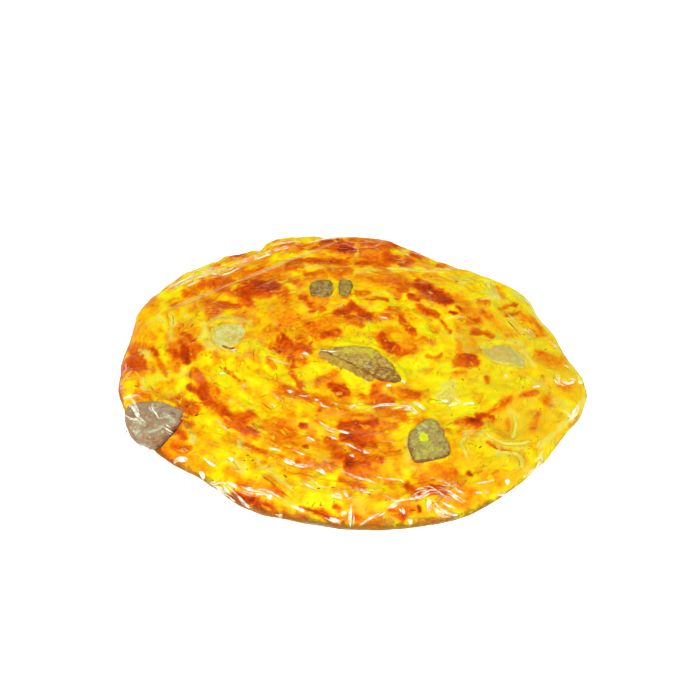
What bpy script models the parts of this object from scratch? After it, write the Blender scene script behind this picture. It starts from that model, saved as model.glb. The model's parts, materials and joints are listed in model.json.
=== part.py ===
"""Meat patir: a round flatbread coiled from a rope of dough, wrapped tight in clear film.

Chunks of meat, two pieces of fat and strips of onion are sunk in its top and lie in pockets
of the crust. The bread and its film are one closed solid, and each piece is one of its own.
Metres, +Z up. The origin is the centre of the bread's flat underside. X is the long way
across, and -Y is the front.
"""

from math import atan2, cos, hypot, pi, sin, sqrt, tau

import bmesh
import bpy
from mathutils import Vector, noise

MM = 0.001

# The rim seen from above: an angle from +X in degrees and the reach there in millimetres.
# It is nearly round, with a drawn-out tip at the right and a blunt corner at the left back.
RIM = (
    (0, 128), (11, 124), (21, 122), (30, 126), (40, 121), (50, 114), (61, 115), (71, 118),
    (81, 126), (95, 127), (109, 133), (119, 127), (130, 132), (142, 138), (158, 139),
    (170, 135), (182, 134), (205, 133), (219, 125), (231, 120), (245, 124), (259, 123),
    (275, 126), (295, 130), (318, 129), (332, 130), (343, 135), (352, 135),
)
RIM_WAVE = 1.2 * MM
RIM_WAVES_PER_RADIUS = 8

# Heights of the crust, and how its rim rolls over to the underside
MIDDLE_TOP = 18.5 * MM
SHOULDER_TOP = 11.0 * MM
WIDEST_AT = 5.0 * MM
SHOULDER_REACH = 0.90
FLAT_REACH = 0.945

# The coil of dough: the rope's width as a share of the way to the rim, the turn at which it
# starts, its height from seam to crest, how round it is, and the plain knob in the middle
ROPE_WIDTH = 0.225
ROPE_START = 0.12
ROPE_HEIGHT = 1.9 * MM
ROPE_ROUNDNESS = 0.6
KNOB = (0.04, 0.16)

# Lumps of dough under the crust, and the flaky plates that lie on it, each from its own
# level of the noise
LUMP_HEIGHT = 1.1 * MM
LUMP_LENGTH = 24 * MM
LUMP_LEVEL = 0.8
FLAKE_HEIGHT = 1.2 * MM
FLAKE_LENGTH = 13 * MM
FLAKE_LEVEL = 23.1
FLAKE_EDGE = (-0.02, 0.12)

# Facets: the dense ball that the bread is shaped from, the share of it that is kept, and how
# near the underside a point is made to lie in it
BALL_SUBDIVISIONS = 7
BREAD_FACETS_KEPT = 0.063
FLAT_WITHIN = 0.02 * MM
CHUNK_CUTS = 5
STRIP_SIDES = 7
STRIP_RINGS = 12

# Touching solids keep this gap, and a pocket is cut clear this far above its piece
GAP = 0.35 * MM
CLEAR_ABOVE = 4 * MM
UPWARD = 0.4

# Chunks: the outline seen from above in millimetres, how deep the chunk is sunk in the
# crust and how far it stands proud of it
CHUNKS = {
    "meat_back_left": (
        ((-26, 61), (-23, 67), (-13, 66), (-11, 59), (-11, 49), (-15, 45), (-25, 48)),
        6.0, 2.2,
    ),
    "meat_back_right": (((-8, 65), (-1, 66), (1, 58), (0, 48), (-3, 45), (-8, 46)), 6.0, 1.8),
    "meat_middle": (
        ((-17, -9), (-13, -2), (3, 0), (13, -2), (17, -8), (24, -18), (29, -30), (23, -33),
         (12, -30), (4, -22), (-4, -15), (-14, -13)),
        7.0, 2.6,
    ),
    "meat_front": (
        ((41, -58), (46, -60), (50, -70), (53, -84), (48, -88), (32, -92), (29, -79), (30, -69)),
        7.0, 2.8,
    ),
    "meat_rim": (
        ((-122, -42), (-106, -42), (-91, -50), (-93, -60), (-102, -70), (-109, -72),
         (-118, -61), (-123, -52)),
        7.5, 2.0,
    ),
    "fat_left": (
        ((-85, 20), (-76, 25), (-64, 24), (-61, 15), (-64, 4), (-73, -3), (-81, 5)),
        5.0, 1.4,
    ),
    "fat_right": (
        ((74, 1), (83, 8), (92, 8), (99, -1), (103, -12), (98, -16), (82, -11), (75, -6)),
        5.0, 1.4,
    ),
}
CHUNK_ROUNDNESS = 7
CHUNK_LUMP = 0.7 * MM
CHUNK_LUMP_LENGTH = 6 * MM

# Strips of onion: the places that each one passes, seen from above in millimetres
STRIPS = {
    "onion_hook": ((66, -70), (61, -71), (58, -76), (60, -83), (61, -87)),
    "onion_long": ((70, -67), (75, -71), (83, -73), (90, -73), (97, -71)),
    "onion_short": ((89, -50), (89, -58), (88, -64), (86, -69)),
    "onion_curl": ((84, -80), (88, -81), (90, -84), (89, -88)),
    "onion_back": ((13, 80), (24, 83), (35, 80), (46, 80), (57, 78)),
    "onion_middle": ((47, -42), (52, -39), (55, -33)),
    "onion_right": ((85, 71), (87, 61), (88, 50)),
    "onion_left": ((-112, 38), (-108, 31), (-108, 22)),
}
STRIP_END_FULLNESS = 5
STRIP_WIDTH = 3.4 * MM
STRIP_THICKNESS = 2.6 * MM
STRIP_PROUD = 0.7 * MM

# Linear colours of the materials
CRUST_COLOUR = (0.90, 0.47, 0.02, 1)
MEAT_COLOUR = (0.27, 0.20, 0.08, 1)
FAT_COLOUR = (0.75, 0.66, 0.20, 1)
ONION_COLOUR = (0.80, 0.72, 0.12, 1)


def clear_scene():
    """Remove whatever the open file holds."""
    for thing in list(bpy.data.objects):
        bpy.data.objects.remove(thing, do_unlink=True)


def make_collection(name):
    """A new collection in the scene."""
    collection = bpy.data.collections.new(name)
    bpy.context.scene.collection.children.link(collection)
    return collection


def make_material(name, colour, roughness):
    """A plain Principled material."""
    material = bpy.data.materials.new(name)
    material.use_nodes = True
    shader = material.node_tree.nodes["Principled BSDF"]
    shader.inputs["Base Color"].default_value = colour
    shader.inputs["Roughness"].default_value = roughness
    shader.inputs["Metallic"].default_value = 0.0
    return material


def smooth_step(low, high, value):
    """0 below low, 1 above high, and a smooth ramp between them."""
    t = min(max((value - low) / (high - low), 0.0), 1.0)
    return t * t * (3 - 2 * t)


def spline(before, start, end, after, t):
    """The point at t of the Catmull-Rom curve from start to end."""
    return 0.5 * (
        2 * start
        + (end - before) * t
        + (2 * before - 5 * start + 4 * end - after) * t ** 2
        + (3 * start - before - 3 * end + after) * t ** 3
    )


def rim_reach(angle):
    """How far the rim lies from the origin in a direction, along a smooth closed curve."""
    turn = (angle / tau) % 1.0 * 360
    count = len(RIM)
    i = max(k for k in range(count) if RIM[k][0] <= turn)
    span = (RIM[(i + 1) % count][0] - RIM[i][0]) % 360
    reaches = (RIM[(i + k) % count][1] for k in (-1, 0, 1, 2))
    wave = noise.noise(Vector((cos(angle), sin(angle), 0)) * RIM_WAVES_PER_RADIUS)
    return spline(*reaches, (turn - RIM[i][0]) / span) * MM + wave * RIM_WAVE


def rope(reach, angle):
    """Where a point lies across the rope of the coil: 0 in a seam, 1 on its crest."""
    turn = reach / ROPE_WIDTH - angle / tau + ROPE_START
    crest = abs(sin(pi * turn)) ** ROPE_ROUNDNESS
    return 1 + (crest - 1) * smooth_step(*KNOB, reach)


def dome_height(x, y):
    """Height of the bread's smooth dome over a point of the plan."""
    reach = min(hypot(x, y) / rim_reach(atan2(y, x)), 1.0)
    return SHOULDER_TOP + (MIDDLE_TOP - SHOULDER_TOP) * (1 - reach ** 2)


def crust_height(x, y):
    """Height of the baked top over a point of the plan, inside the rim's roll."""
    angle = atan2(y, x)
    reach = min(hypot(x, y) / rim_reach(angle), 1.0)
    coil = ROPE_HEIGHT * (rope(reach, angle) - 0.5)
    lumps = LUMP_HEIGHT * noise.noise(Vector((x / LUMP_LENGTH, y / LUMP_LENGTH, LUMP_LEVEL)))
    plate = noise.noise(Vector((x / FLAKE_LENGTH, y / FLAKE_LENGTH, FLAKE_LEVEL)))
    flakes = FLAKE_HEIGHT * (smooth_step(*FLAKE_EDGE, plate) - 0.5)
    return dome_height(x, y) + coil + lumps + flakes


def surface_height(x, y):
    """Height of the bread's upper surface, its rolled rim included."""
    reach = hypot(x, y) / rim_reach(atan2(y, x))
    top = crust_height(x, y)
    if reach <= SHOULDER_REACH:
        return top
    rolled = min((reach - SHOULDER_REACH) / (1 - SHOULDER_REACH), 1.0)
    return WIDEST_AT + (top - WIDEST_AT) * sqrt(1 - rolled ** 2)


def surface_normal(x, y, step):
    """Which way the upper surface faces, measured over a step to each side."""
    rise_x = surface_height(x + step, y) - surface_height(x - step, y)
    rise_y = surface_height(x, y + step) - surface_height(x, y - step)
    return Vector((-rise_x, -rise_y, 2 * step)).normalized()


def bread_point(direction):
    """Where a point of the unit ball lies on the bread: top, rolled rim or flat underside."""
    angle = atan2(direction.y, direction.x)
    upper = direction.z >= 0
    from_pole = sqrt(max(1 - abs(direction.z), 0.0))
    start = SHOULDER_REACH if upper else FLAT_REACH
    if from_pole <= start:
        reach = from_pole
        drop = 0.0
    else:
        roll = (from_pole - start) / (1 - start) * pi / 2
        reach = start + (1 - start) * sin(roll)
        drop = 1 - cos(roll)
    distance = reach * rim_reach(angle)
    x = distance * cos(angle)
    y = distance * sin(angle)
    if not upper:
        return Vector((x, y, WIDEST_AT * drop))
    top = crust_height(x, y)
    return Vector((x, y, top + (WIDEST_AT - top) * drop))


def add_object(name, mesh, collection, material=None):
    """Link a mesh as an object, shaded smooth."""
    thing = bpy.data.objects.new(name, mesh)
    if material is not None:
        mesh.materials.append(material)
    mesh.shade_smooth()
    collection.objects.link(thing)
    return thing


def keep_evaluated(thing):
    """Apply an object's modifiers."""
    graph = bpy.context.evaluated_depsgraph_get()
    mesh = bpy.data.meshes.new_from_object(thing.evaluated_get(graph))
    old = thing.data
    thing.modifiers.clear()
    thing.data = mesh
    bpy.data.meshes.remove(old)


def make_bread(collection, material):
    """The wrapped bread before its pockets: a ball of fine facets shaped, then thinned out."""
    form = bmesh.new()
    bmesh.ops.create_icosphere(form, subdivisions=BALL_SUBDIVISIONS, radius=1.0)
    for vertex in form.verts:
        vertex.co = bread_point(vertex.co)
    mesh = bpy.data.meshes.new("wrapped_bread")
    form.to_mesh(mesh)
    form.free()
    bread = add_object("wrapped_bread", mesh, collection, material)
    thin = bread.modifiers.new("Fewer facets", "DECIMATE")
    thin.ratio = BREAD_FACETS_KEPT
    keep_evaluated(bread)
    for vertex in bread.data.vertices:
        if vertex.co.z < FLAT_WITHIN:
            vertex.co.z = 0.0
    return bread


def outline_reach(outline, centre, direction):
    """Distance from the centre to the outline's edge in a direction."""
    for start, end in zip(outline, outline[1:] + outline[:1]):
        side = end - start
        across = direction.x * side.y - direction.y * side.x
        if abs(across) < 1e-12:
            continue
        offset = start - centre
        distance = (offset.x * side.y - offset.y * side.x) / across
        along = (offset.x * direction.y - offset.y * direction.x) / across
        if distance > 0 and -1e-6 <= along <= 1 + 1e-6:
            return distance
    raise ValueError("the centre lies outside the outline")


def chunk_mesh(name, outline, sunk, proud):
    """A blocky chunk with rounded edges, from a cut-up cube fitted to the outline."""
    places = [Vector(point) * MM for point in outline]
    centre = sum(places, Vector((0, 0))) / len(places)
    top = crust_height(*centre) + proud * MM
    bottom = crust_height(*centre) - sunk * MM
    half = (top - bottom) / 2
    form = bmesh.new()
    bmesh.ops.create_cube(form, size=2.0)
    bmesh.ops.subdivide_edges(form, edges=form.edges[:], cuts=CHUNK_CUTS, use_grid_fill=True)
    for vertex in form.verts:
        u, v, w = vertex.co
        spread = max(abs(u), abs(v))
        norm = (spread ** CHUNK_ROUNDNESS + abs(w) ** CHUNK_ROUNDNESS) ** (1 / CHUNK_ROUNDNESS)
        place = centre.copy()
        if spread > 1e-6:
            direction = Vector((u, v)).normalized()
            place += direction * outline_reach(places, centre, direction) * spread / norm
        height = (top + bottom) / 2 + half * w / norm
        lump = noise.noise(Vector((*place, height)) / CHUNK_LUMP_LENGTH) * CHUNK_LUMP
        slope = dome_height(*place) - dome_height(*centre)
        vertex.co = (*place, height + lump + slope)
    mesh = bpy.data.meshes.new(name)
    form.to_mesh(mesh)
    form.free()
    return mesh


def strip_place(path, t):
    """The place and the direction at a share t of the smooth line through a strip's places."""
    def at(share):
        position = min(max(share, 0.0), 1.0) * (len(path) - 1)
        i = min(int(position), len(path) - 2)
        near = [path[min(max(i + k, 0), len(path) - 1)] for k in (-1, 0, 1, 2)]
        return spline(*near, position - i)

    step = 0.01
    return at(t), (at(t + step) - at(t - step)).normalized()


def strip_mesh(name, places):
    """A flat strip with round ends, from a ball drawn out along its line on the crust."""
    path = [Vector(place) * MM for place in places]
    form = bmesh.new()
    bmesh.ops.create_uvsphere(form, u_segments=STRIP_SIDES, v_segments=STRIP_RINGS, radius=1.0)
    for vertex in form.verts:
        share = 0.5 + atan2(vertex.co.z, hypot(vertex.co.x, vertex.co.y)) / pi
        around = atan2(vertex.co.y, vertex.co.x)
        fullness = sqrt(max(1 - abs(2 * share - 1) ** STRIP_END_FULLNESS, 0.0))
        line, along = strip_place(path, share)
        up = surface_normal(*line, STRIP_WIDTH / 2)
        side = up.cross(along.to_3d()).normalized()
        middle = Vector((*line, surface_height(*line))) + up * (STRIP_PROUD - STRIP_THICKNESS / 2)
        across = STRIP_WIDTH / 2 * fullness * cos(around)
        rise = STRIP_THICKNESS / 2 * fullness * sin(around)
        vertex.co = middle + side * across + up * rise
    mesh = bpy.data.meshes.new(name)
    form.to_mesh(mesh)
    form.free()
    return mesh


def cut_pocket(bread, name, piece, cutters):
    """Cut the pocket of a piece out of the bread: a little larger all round, and open above."""
    form = bmesh.new()
    form.from_mesh(piece)
    form.normal_update()
    for vertex in form.verts:
        faces_up = vertex.normal.z > UPWARD
        vertex.co += vertex.normal * GAP
        vertex.co.z += CLEAR_ABOVE * faces_up
    mesh = bpy.data.meshes.new(name + "_pocket")
    form.to_mesh(mesh)
    form.free()
    cutter = add_object(name + "_pocket", mesh, cutters)
    cutter.hide_render = True
    cutter.display_type = "WIRE"
    cut = bread.modifiers.new(name, "BOOLEAN")
    cut.operation = "DIFFERENCE"
    cut.solver = "EXACT"
    cut.object = cutter


def main():
    """Build the bread and every piece in its top."""
    clear_scene()
    parts = make_collection("Meat patir")
    cutters = make_collection("Pockets")
    crust = make_material("Crust under film", CRUST_COLOUR, 0.4)
    meat = make_material("Boiled meat", MEAT_COLOUR, 0.6)
    fat = make_material("Fat", FAT_COLOUR, 0.4)
    onion = make_material("Onion", ONION_COLOUR, 0.4)

    bread = make_bread(parts, crust)
    for name, (outline, sunk, proud) in CHUNKS.items():
        stuff = meat if name.startswith("meat") else fat
        chunk = add_object(name, chunk_mesh(name, outline, sunk, proud), parts, stuff)
        cut_pocket(bread, name, chunk.data, cutters)
    for name, places in STRIPS.items():
        strip = add_object(name, strip_mesh(name, places), parts, onion)
        cut_pocket(bread, name, strip.data, cutters)


main()
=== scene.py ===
"""Looks of a meat patir: a coiled flatbread with meat, fat and onion in its crust, under clear film.

Run as a script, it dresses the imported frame. It is laid out as an add-on, whose panel in the
sidebar holds the sizes and colours that a user would change and a button for each group of pieces.
Metres, +Z up. The front of the bread faces -Y.
"""

import json
import math
import random

import bmesh
import bpy
import numpy as np
from bpy.props import FloatProperty, FloatVectorProperty, IntProperty, PointerProperty
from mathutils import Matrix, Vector, noise
from mathutils.bvhtree import BVHTree
from mathutils.kdtree import KDTree

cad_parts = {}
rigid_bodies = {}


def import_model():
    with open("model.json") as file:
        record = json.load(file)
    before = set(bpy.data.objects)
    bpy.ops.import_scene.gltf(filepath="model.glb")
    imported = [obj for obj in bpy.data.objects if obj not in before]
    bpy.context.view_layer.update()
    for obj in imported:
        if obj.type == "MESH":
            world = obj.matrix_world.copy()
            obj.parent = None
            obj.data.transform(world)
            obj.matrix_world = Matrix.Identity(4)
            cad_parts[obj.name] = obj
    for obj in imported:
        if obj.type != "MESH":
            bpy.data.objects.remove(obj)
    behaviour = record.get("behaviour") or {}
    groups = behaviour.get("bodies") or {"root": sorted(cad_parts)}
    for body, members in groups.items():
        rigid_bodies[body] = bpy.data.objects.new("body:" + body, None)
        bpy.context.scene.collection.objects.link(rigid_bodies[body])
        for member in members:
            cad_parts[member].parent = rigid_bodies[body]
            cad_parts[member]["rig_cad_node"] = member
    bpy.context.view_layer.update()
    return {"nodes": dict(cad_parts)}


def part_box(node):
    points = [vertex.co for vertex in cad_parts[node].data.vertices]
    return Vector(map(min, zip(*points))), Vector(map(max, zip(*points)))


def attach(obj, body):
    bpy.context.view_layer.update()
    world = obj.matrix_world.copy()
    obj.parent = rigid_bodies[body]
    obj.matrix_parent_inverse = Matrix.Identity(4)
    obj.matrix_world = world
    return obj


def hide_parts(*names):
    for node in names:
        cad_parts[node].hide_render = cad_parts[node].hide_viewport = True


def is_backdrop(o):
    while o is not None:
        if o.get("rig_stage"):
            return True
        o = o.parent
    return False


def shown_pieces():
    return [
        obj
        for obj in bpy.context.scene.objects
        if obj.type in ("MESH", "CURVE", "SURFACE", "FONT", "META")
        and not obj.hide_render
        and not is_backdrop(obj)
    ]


bl_info = {
    "name": "Meat patir",
    "version": (1, 0, 0),
    "blender": (4, 5, 0),
    "location": "3D View > Sidebar > Patir",
    "description": "Dresses a coiled meat flatbread in its crust, filling and clear film",
    "category": "Object",
}

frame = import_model()
MM = 0.001

# How much brighter than a plain white screen the stage lights the bread
LIGHT_LEVEL = 1.5

# The photograph's view of the bread, which is the camera's too. Its pixels place what shows there
PHOTO_WIDTH = 700
MIDDLE_PIXEL = 349.5
VIEW_ELEVATION = math.radians(40)
VIEW_DISTANCE = 0.700
VIEW_TARGET = Vector((-0.0009, 0.0195, 0.0))
LENS = 60
SENSOR_WIDTH = 36
FOCAL_PIXELS = LENS / SENSOR_WIDTH * PHOTO_WIDTH
VIEW_BACK = Vector((0, -math.cos(VIEW_ELEVATION), math.sin(VIEW_ELEVATION)))
VIEW_UP = Vector((0, math.sin(VIEW_ELEVATION), math.cos(VIEW_ELEVATION)))
VIEW_FROM = VIEW_TARGET + VIEW_BACK * VIEW_DISTANCE
BREAD_MIDDLE_PIXEL = Vector((350, 384))
PIXEL = VIEW_DISTANCE / FOCAL_PIXELS
DEPTH_WEIGHT = 0.35

# The bread's form: the height and the share of the reach at which its rim starts to roll over,
# and the coil of dough, whose rope is this share of the reach wide
ROLL_HEIGHT = 5 * MM
SHOULDER = 0.90
FOOT = 2 - SHOULDER
ROPE_WIDTH = 0.225
ROPE_START = 0.12
UNDER_RINGS = (1.02, 1.04, 1.06, 1.08, 1.10, 1.25, 1.5, 1.8, 1.95)

# How many directions the rim is searched in, how far out searches start, how far from the middle
# the flakes lie and where the side folds of the film start, in metres
RIM_RAYS = 720
RAY_START = 0.08
TOP_REACH = 0.124
PAST_THE_RIM = 0.15

# The layers of dough that flake: the height of the noise at which each step starts and ends
LAYERS = ((-0.28, -0.22), (0.02, 0.08), (0.3, 0.36))

# The crust's least height over the table, how deep it runs under the filling, and its small flakes
# and crumbs, whose width is a share of their stroke's
LEAST_HEIGHT = 0.1 * MM
FILLING_DEPTH = 2 * MM
FLAKE_THICKNESS = 0.22 * MM
CRUMB_THICKNESS = 0.25 * MM
CRUMB_LIFT = 0.1 * MM
CRUMB_WIDTH = 0.62

# Steps along the film's overlap, and along the line of a small fold
OVERLAP_STEPS = 12
FOLD_STEPS = 3

# Toasted patches of the crust as brush strokes: places in the photograph's pixels, half width,
# and how far the patch is baked, from 0 for raw yellow through 1 for burnt orange to brown
TOASTED = (
    # Left rim
    (((130, 350), (135, 354)), 5, 0.75),
    (((131, 364), (138, 366)), 8, 0.85),
    (((138, 356), (144, 368)), 4, 0.85),
    (((154, 349), (156, 356)), 3, 0.85),
    # A thin darker line along the rim's edge.
    (((121, 372), (119, 385), (119, 400)), 2, 0.75),
    (((134, 375), (139, 386)), 2, 0.5),
    (((143, 394), (148, 398)), 3, 0.7),
    (((130, 336), (136, 325)), 4, 0.5),
    (((150, 302), (153, 308)), 4, 0.5),
    (((148, 330), (153, 338)), 3, 0.45),
    # Left
    (((157, 358), (164, 374)), 2.5, 0.6),
    (((150, 363), (153, 371)), 2.5, 0.5),
    (((181, 342), (198, 348)), 5.5, 0.72),
    (((172, 352), (178, 354)), 4, 0.92),
    (((183, 350), (187, 360)), 5, 1.05),
    (((191, 350), (194, 357)), 4.5, 0.8),
    (((177, 362), (176, 370)), 2.5, 0.6),
    (((169, 382), (172, 388)), 2.5, 0.5),
    (((194, 373), (203, 380), (206, 388)), 6, 0.75),
    (((190, 388), (197, 390)), 3, 0.9),
    (((201, 389), (204, 397)), 5, 0.98),
    (((206, 399), (217, 406), (228, 417)), 5.5, 0.84),
    (((234, 421), (250, 416)), 7, 0.8),
    (((236, 425), (252, 433)), 4.5, 0.78),
    (((184, 402), (195, 406)), 4, 0.75),
    (((212, 387), (217, 393)), 4, 0.66),
    (((268, 360), (274, 366)), 3, 0.6),
    (((174, 430), (183, 436)), 3.5, 0.88),
    (((261, 340), (264, 344)), 3, 0.5),
    (((224, 368), (239, 380)), 0.8, 0.8),
    # Back left
    (((230, 257), (242, 254)), 2.5, 1.0),
    (((268, 274), (270, 275)), 4, 0.7),
    (((242, 290), (262, 285), (272, 287)), 6.5, 1.0),
    (((246, 295), (250, 304)), 4, 0.9),
    (((265, 291), (276, 292)), 4, 0.8),
    (((186, 294), (194, 291), (203, 284)), 4.5, 0.8),
    (((208, 284), (230, 281)), 4, 0.8),
    (((208, 302), (212, 314)), 7, 0.7),
    (((218, 304), (238, 306)), 3, 0.85),
    (((182, 328), (194, 331)), 6, 0.5),
    (((182, 333), (192, 339)), 3, 0.9),
    (((171, 305), (177, 305)), 2.5, 0.7),
    # Back
    (((286, 265), (304, 261), (345, 263)), 4, 0.85),
    (((340, 250), (352, 250)), 2.5, 1.2),
    (((338, 243), (352, 246)), 4, 0.8),
    (((322, 243), (338, 242)), 3.5, 0.95),
    (((284, 244), (292, 245)), 2, 0.7),
    (((364, 245), (375, 248), (390, 248)), 3.5, 0.8),
    (((390, 241), (398, 244)), 2, 0.9),
    (((385, 257), (394, 259)), 4.5, 0.85),
    (((401, 263), (409, 262)), 4, 0.85),
    (((412, 255), (420, 257)), 2.5, 0.8),
    (((356, 264), (376, 262)), 2.8, 0.8),
    (((306, 275), (321, 272)), 2, 0.75),
    (((341, 273), (350, 271)), 3, 0.7),
    (((303, 298), (309, 304)), 4, 0.85),
    (((358, 293), (367, 293)), 3, 0.65),
    (((367, 299), (376, 298), (386, 300)), 2, 0.8),
    (((384, 280), (410, 284), (400, 291)), 3.5, 0.7),
    (((409, 296), (418, 299)), 2.5, 0.95),
    # Behind the middle
    (((338, 312), (350, 307), (360, 310), (367, 316)), 5, 0.92),
    (((346, 318), (360, 322)), 5, 0.72),
    (((325, 317), (338, 320)), 4, 0.6),
    (((430, 327), (436, 329)), 4, 0.5),
    (((372, 315), (389, 317)), 2.5, 0.62),
    (((389, 309), (397, 310)), 3, 0.75),
    (((400, 315), (405, 325), (413, 333)), 4, 0.8),
    (((313, 309), (321, 309)), 4, 0.7),
    (((325, 334), (337, 332)), 4.2, 0.85),
    (((311, 325), (319, 334)), 5, 0.65),
    (((284, 318), (298, 326)), 6, 0.5),
    (((375, 336), (387, 338)), 4, 0.5),
    (((266, 331), (276, 330)), 5, 0.65),
    (((303, 330), (317, 337)), 4, 0.55),
    # Middle
    (((381, 336), (386, 343), (398, 349)), 4.5, 0.95),
    (((390, 352), (411, 352)), 2.5, 0.75),
    (((411, 334), (414, 348)), 2.6, 0.65),
    (((278, 349), (290, 350), (300, 346), (308, 349)), 5, 0.8),
    (((299, 337), (302, 341)), 5, 0.72),
    (((270, 346), (276, 349)), 3, 0.7),
    (((282, 337), (289, 345)), 4.5, 0.9),
    (((291, 357), (291, 366)), 3, 0.85),
    (((300, 360), (304, 362)), 3, 0.7),
    (((290, 372), (298, 384)), 1.5, 0.75),
    (((300, 384), (302, 392)), 3, 0.65),
    (((282, 389), (292, 392)), 4, 0.7),
    (((297, 394), (309, 400)), 4, 0.85),
    (((314, 397), (331, 407)), 4, 0.65),
    (((318, 382), (330, 378), (334, 374)), 4.5, 0.62),
    (((332, 385), (341, 387), (346, 393)), 4.2, 0.92),
    (((361, 396), (364, 398)), 3.5, 0.65),
    (((376, 388), (373, 397), (383, 403)), 5, 0.75),
    (((401, 391), (417, 394)), 4, 0.75),
    (((378, 397), (391, 401)), 4, 0.8),
    (((336, 391), (342, 395)), 3.5, 1.0),
    (((398, 416), (405, 419)), 4, 0.65),
    # Back right
    (((418, 284), (428, 290), (446, 300)), 6, 1.05),
    (((420, 308), (436, 316)), 3.5, 0.8),
    (((450, 313), (454, 314)), 2, 1.1),
    (((459, 320), (468, 323), (482, 323)), 3, 0.62),
    (((441, 321), (450, 331)), 1.5, 0.7),
    (((472, 331), (484, 333), (492, 337)), 3, 0.78),
    (((471, 340), (476, 350)), 4, 0.5),
    (((458, 308), (467, 311)), 2.6, 0.68),
    (((470, 318), (478, 321)), 2.2, 0.8),
    (((482, 312), (490, 318)), 2.5, 0.68),
    (((478, 302), (487, 303)), 2.6, 0.66),
    (((496, 288), (501, 296)), 4, 0.55),
    (((499, 309), (515, 306)), 2.6, 0.72),
    (((506, 315), (520, 312)), 1.8, 0.74),
    (((438, 265), (446, 266)), 2, 0.7),
    (((455, 299), (466, 304)), 4, 0.6),
    (((530, 320), (545, 334)), 4, 0.55),
    # Right
    (((460, 357), (473, 358)), 4.5, 0.92),
    (((457, 363), (475, 363)), 5, 0.82),
    (((421, 339), (431, 342)), 3, 0.65),
    (((427, 356), (434, 359), (441, 355)), 2, 0.7),
    (((456, 374), (465, 372)), 2.2, 0.65),
    (((486, 378), (487, 381)), 2.2, 0.7),
    (((540, 356), (556, 363)), 6, 0.64),
    (((544, 349),), 1.5, 1.2),
    (((514, 342),), 1.6, 0.75),
    (((537, 337), (545, 335)), 2, 0.68),
    (((522, 323),), 1.2, 0.9),
    (((524, 319), (534, 324), (541, 332)), 2.6, 0.64),
    (((475, 396),), 1.5, 0.6),
    (((507, 421), (507, 430)), 2.5, 0.64),
    (((538, 414), (532, 428)), 3, 0.68),
    (((556, 340), (562, 350)), 2.5, 0.5),
    (((545, 401), (552, 403)), 3.5, 0.7),
    (((560, 386), (567, 387)), 3.5, 0.6),
    (((457, 422), (467, 421)), 4, 0.7),
    (((467, 421), (477, 423)), 4.2, 1.0),
    (((478, 417), (489, 415)), 4, 0.95),
    (((489, 413), (501, 406), (510, 397)), 3.5, 0.76),
    (((519, 396), (534, 393)), 3, 0.7),
    (((532, 424), (533, 430)), 3.5, 0.6),
    (((534, 412), (538, 418)), 4, 0.5),
    (((498, 433), (507, 436)), 3, 0.55),
    # Front left
    (((173, 446), (186, 449)), 4.5, 0.72),
    # A thin darker line along the rim's edge.
    (((159, 450), (173, 461)), 2, 0.95),
    # A dark line at the lower right edge of the meat on the rim: painted shadow.
    (((157, 443), (164, 437)), 2.5, 0.95),
    (((242, 430), (255, 437)), 4, 0.6),
    (((245, 446), (265, 453)), 3, 0.75),
    (((272, 440), (292, 437)), 6, 0.66),
    (((240, 483), (247, 486)), 3.5, 0.65),
    (((265, 478), (276, 480)), 3, 0.6),
    (((272, 487), (283, 494)), 4, 0.78),
    (((236, 495), (248, 500), (264, 505)), 4.5, 1.1),
    (((264, 503), (274, 507)), 3, 0.9),
    (((240, 494), (243, 496)), 3, 1.15),
    (((255, 506), (263, 509)), 3, 1.15),
    # Front
    (((341, 426), (352, 424), (375, 422)), 4.5, 0.95),
    (((358, 415), (371, 416)), 3, 0.6),
    (((330, 441), (340, 456)), 6.5, 0.8),
    (((345, 434), (362, 445)), 6.5, 1.02),
    (((347, 457), (349, 463)), 5, 1.0),
    (((352, 448), (364, 452)), 4, 0.85),
    (((364, 440), (374, 446)), 5.5, 0.82),
    (((358, 456), (376, 460)), 6.5, 0.75),
    (((341, 480), (361, 487)), 4.5, 0.7),
    (((296, 463), (310, 467)), 3.5, 0.7),
    (((386, 450), (398, 455)), 5, 0.52),
    (((378, 410), (402, 412)), 4, 0.62),
    (((380, 428), (395, 426)), 4, 0.6),
    (((406, 486), (418, 494)), 4.5, 0.85),
    (((391, 511), (402, 515)), 4, 0.82),
    (((418, 507), (419, 511)), 1.8, 1.0),
    (((335, 506), (338, 508)), 2.5, 0.8),
    (((300, 425), (305, 426)), 1.8, 1.1),
    (((303, 448), (306, 447)), 1.6, 0.95),
    # A thin darker line along the front rim's foot.
    (((300, 507), (320, 512), (342, 520)), 1.2, 0.9),
    # Front right
    (((437, 468), (451, 472)), 6.5, 0.66),
    (((416, 476), (440, 478)), 5, 0.55),
    (((452, 480), (464, 485)), 4, 0.48),
    (((431, 490), (442, 492)), 4.5, 0.88),
    (((420, 484), (430, 488)), 4, 0.62),
    (((468, 473), (470, 475)), 2.2, 0.95),
    (((466, 497), (472, 499)), 2.5, 0.6),
    (((490, 475), (512, 471)), 3.5, 0.48),
    (((519, 455), (523, 459)), 3.5, 0.5),
    (((487, 443), (510, 451)), 1.2, 0.7),
    (((500, 497), (512, 489)), 2, 0.7),
)
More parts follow.
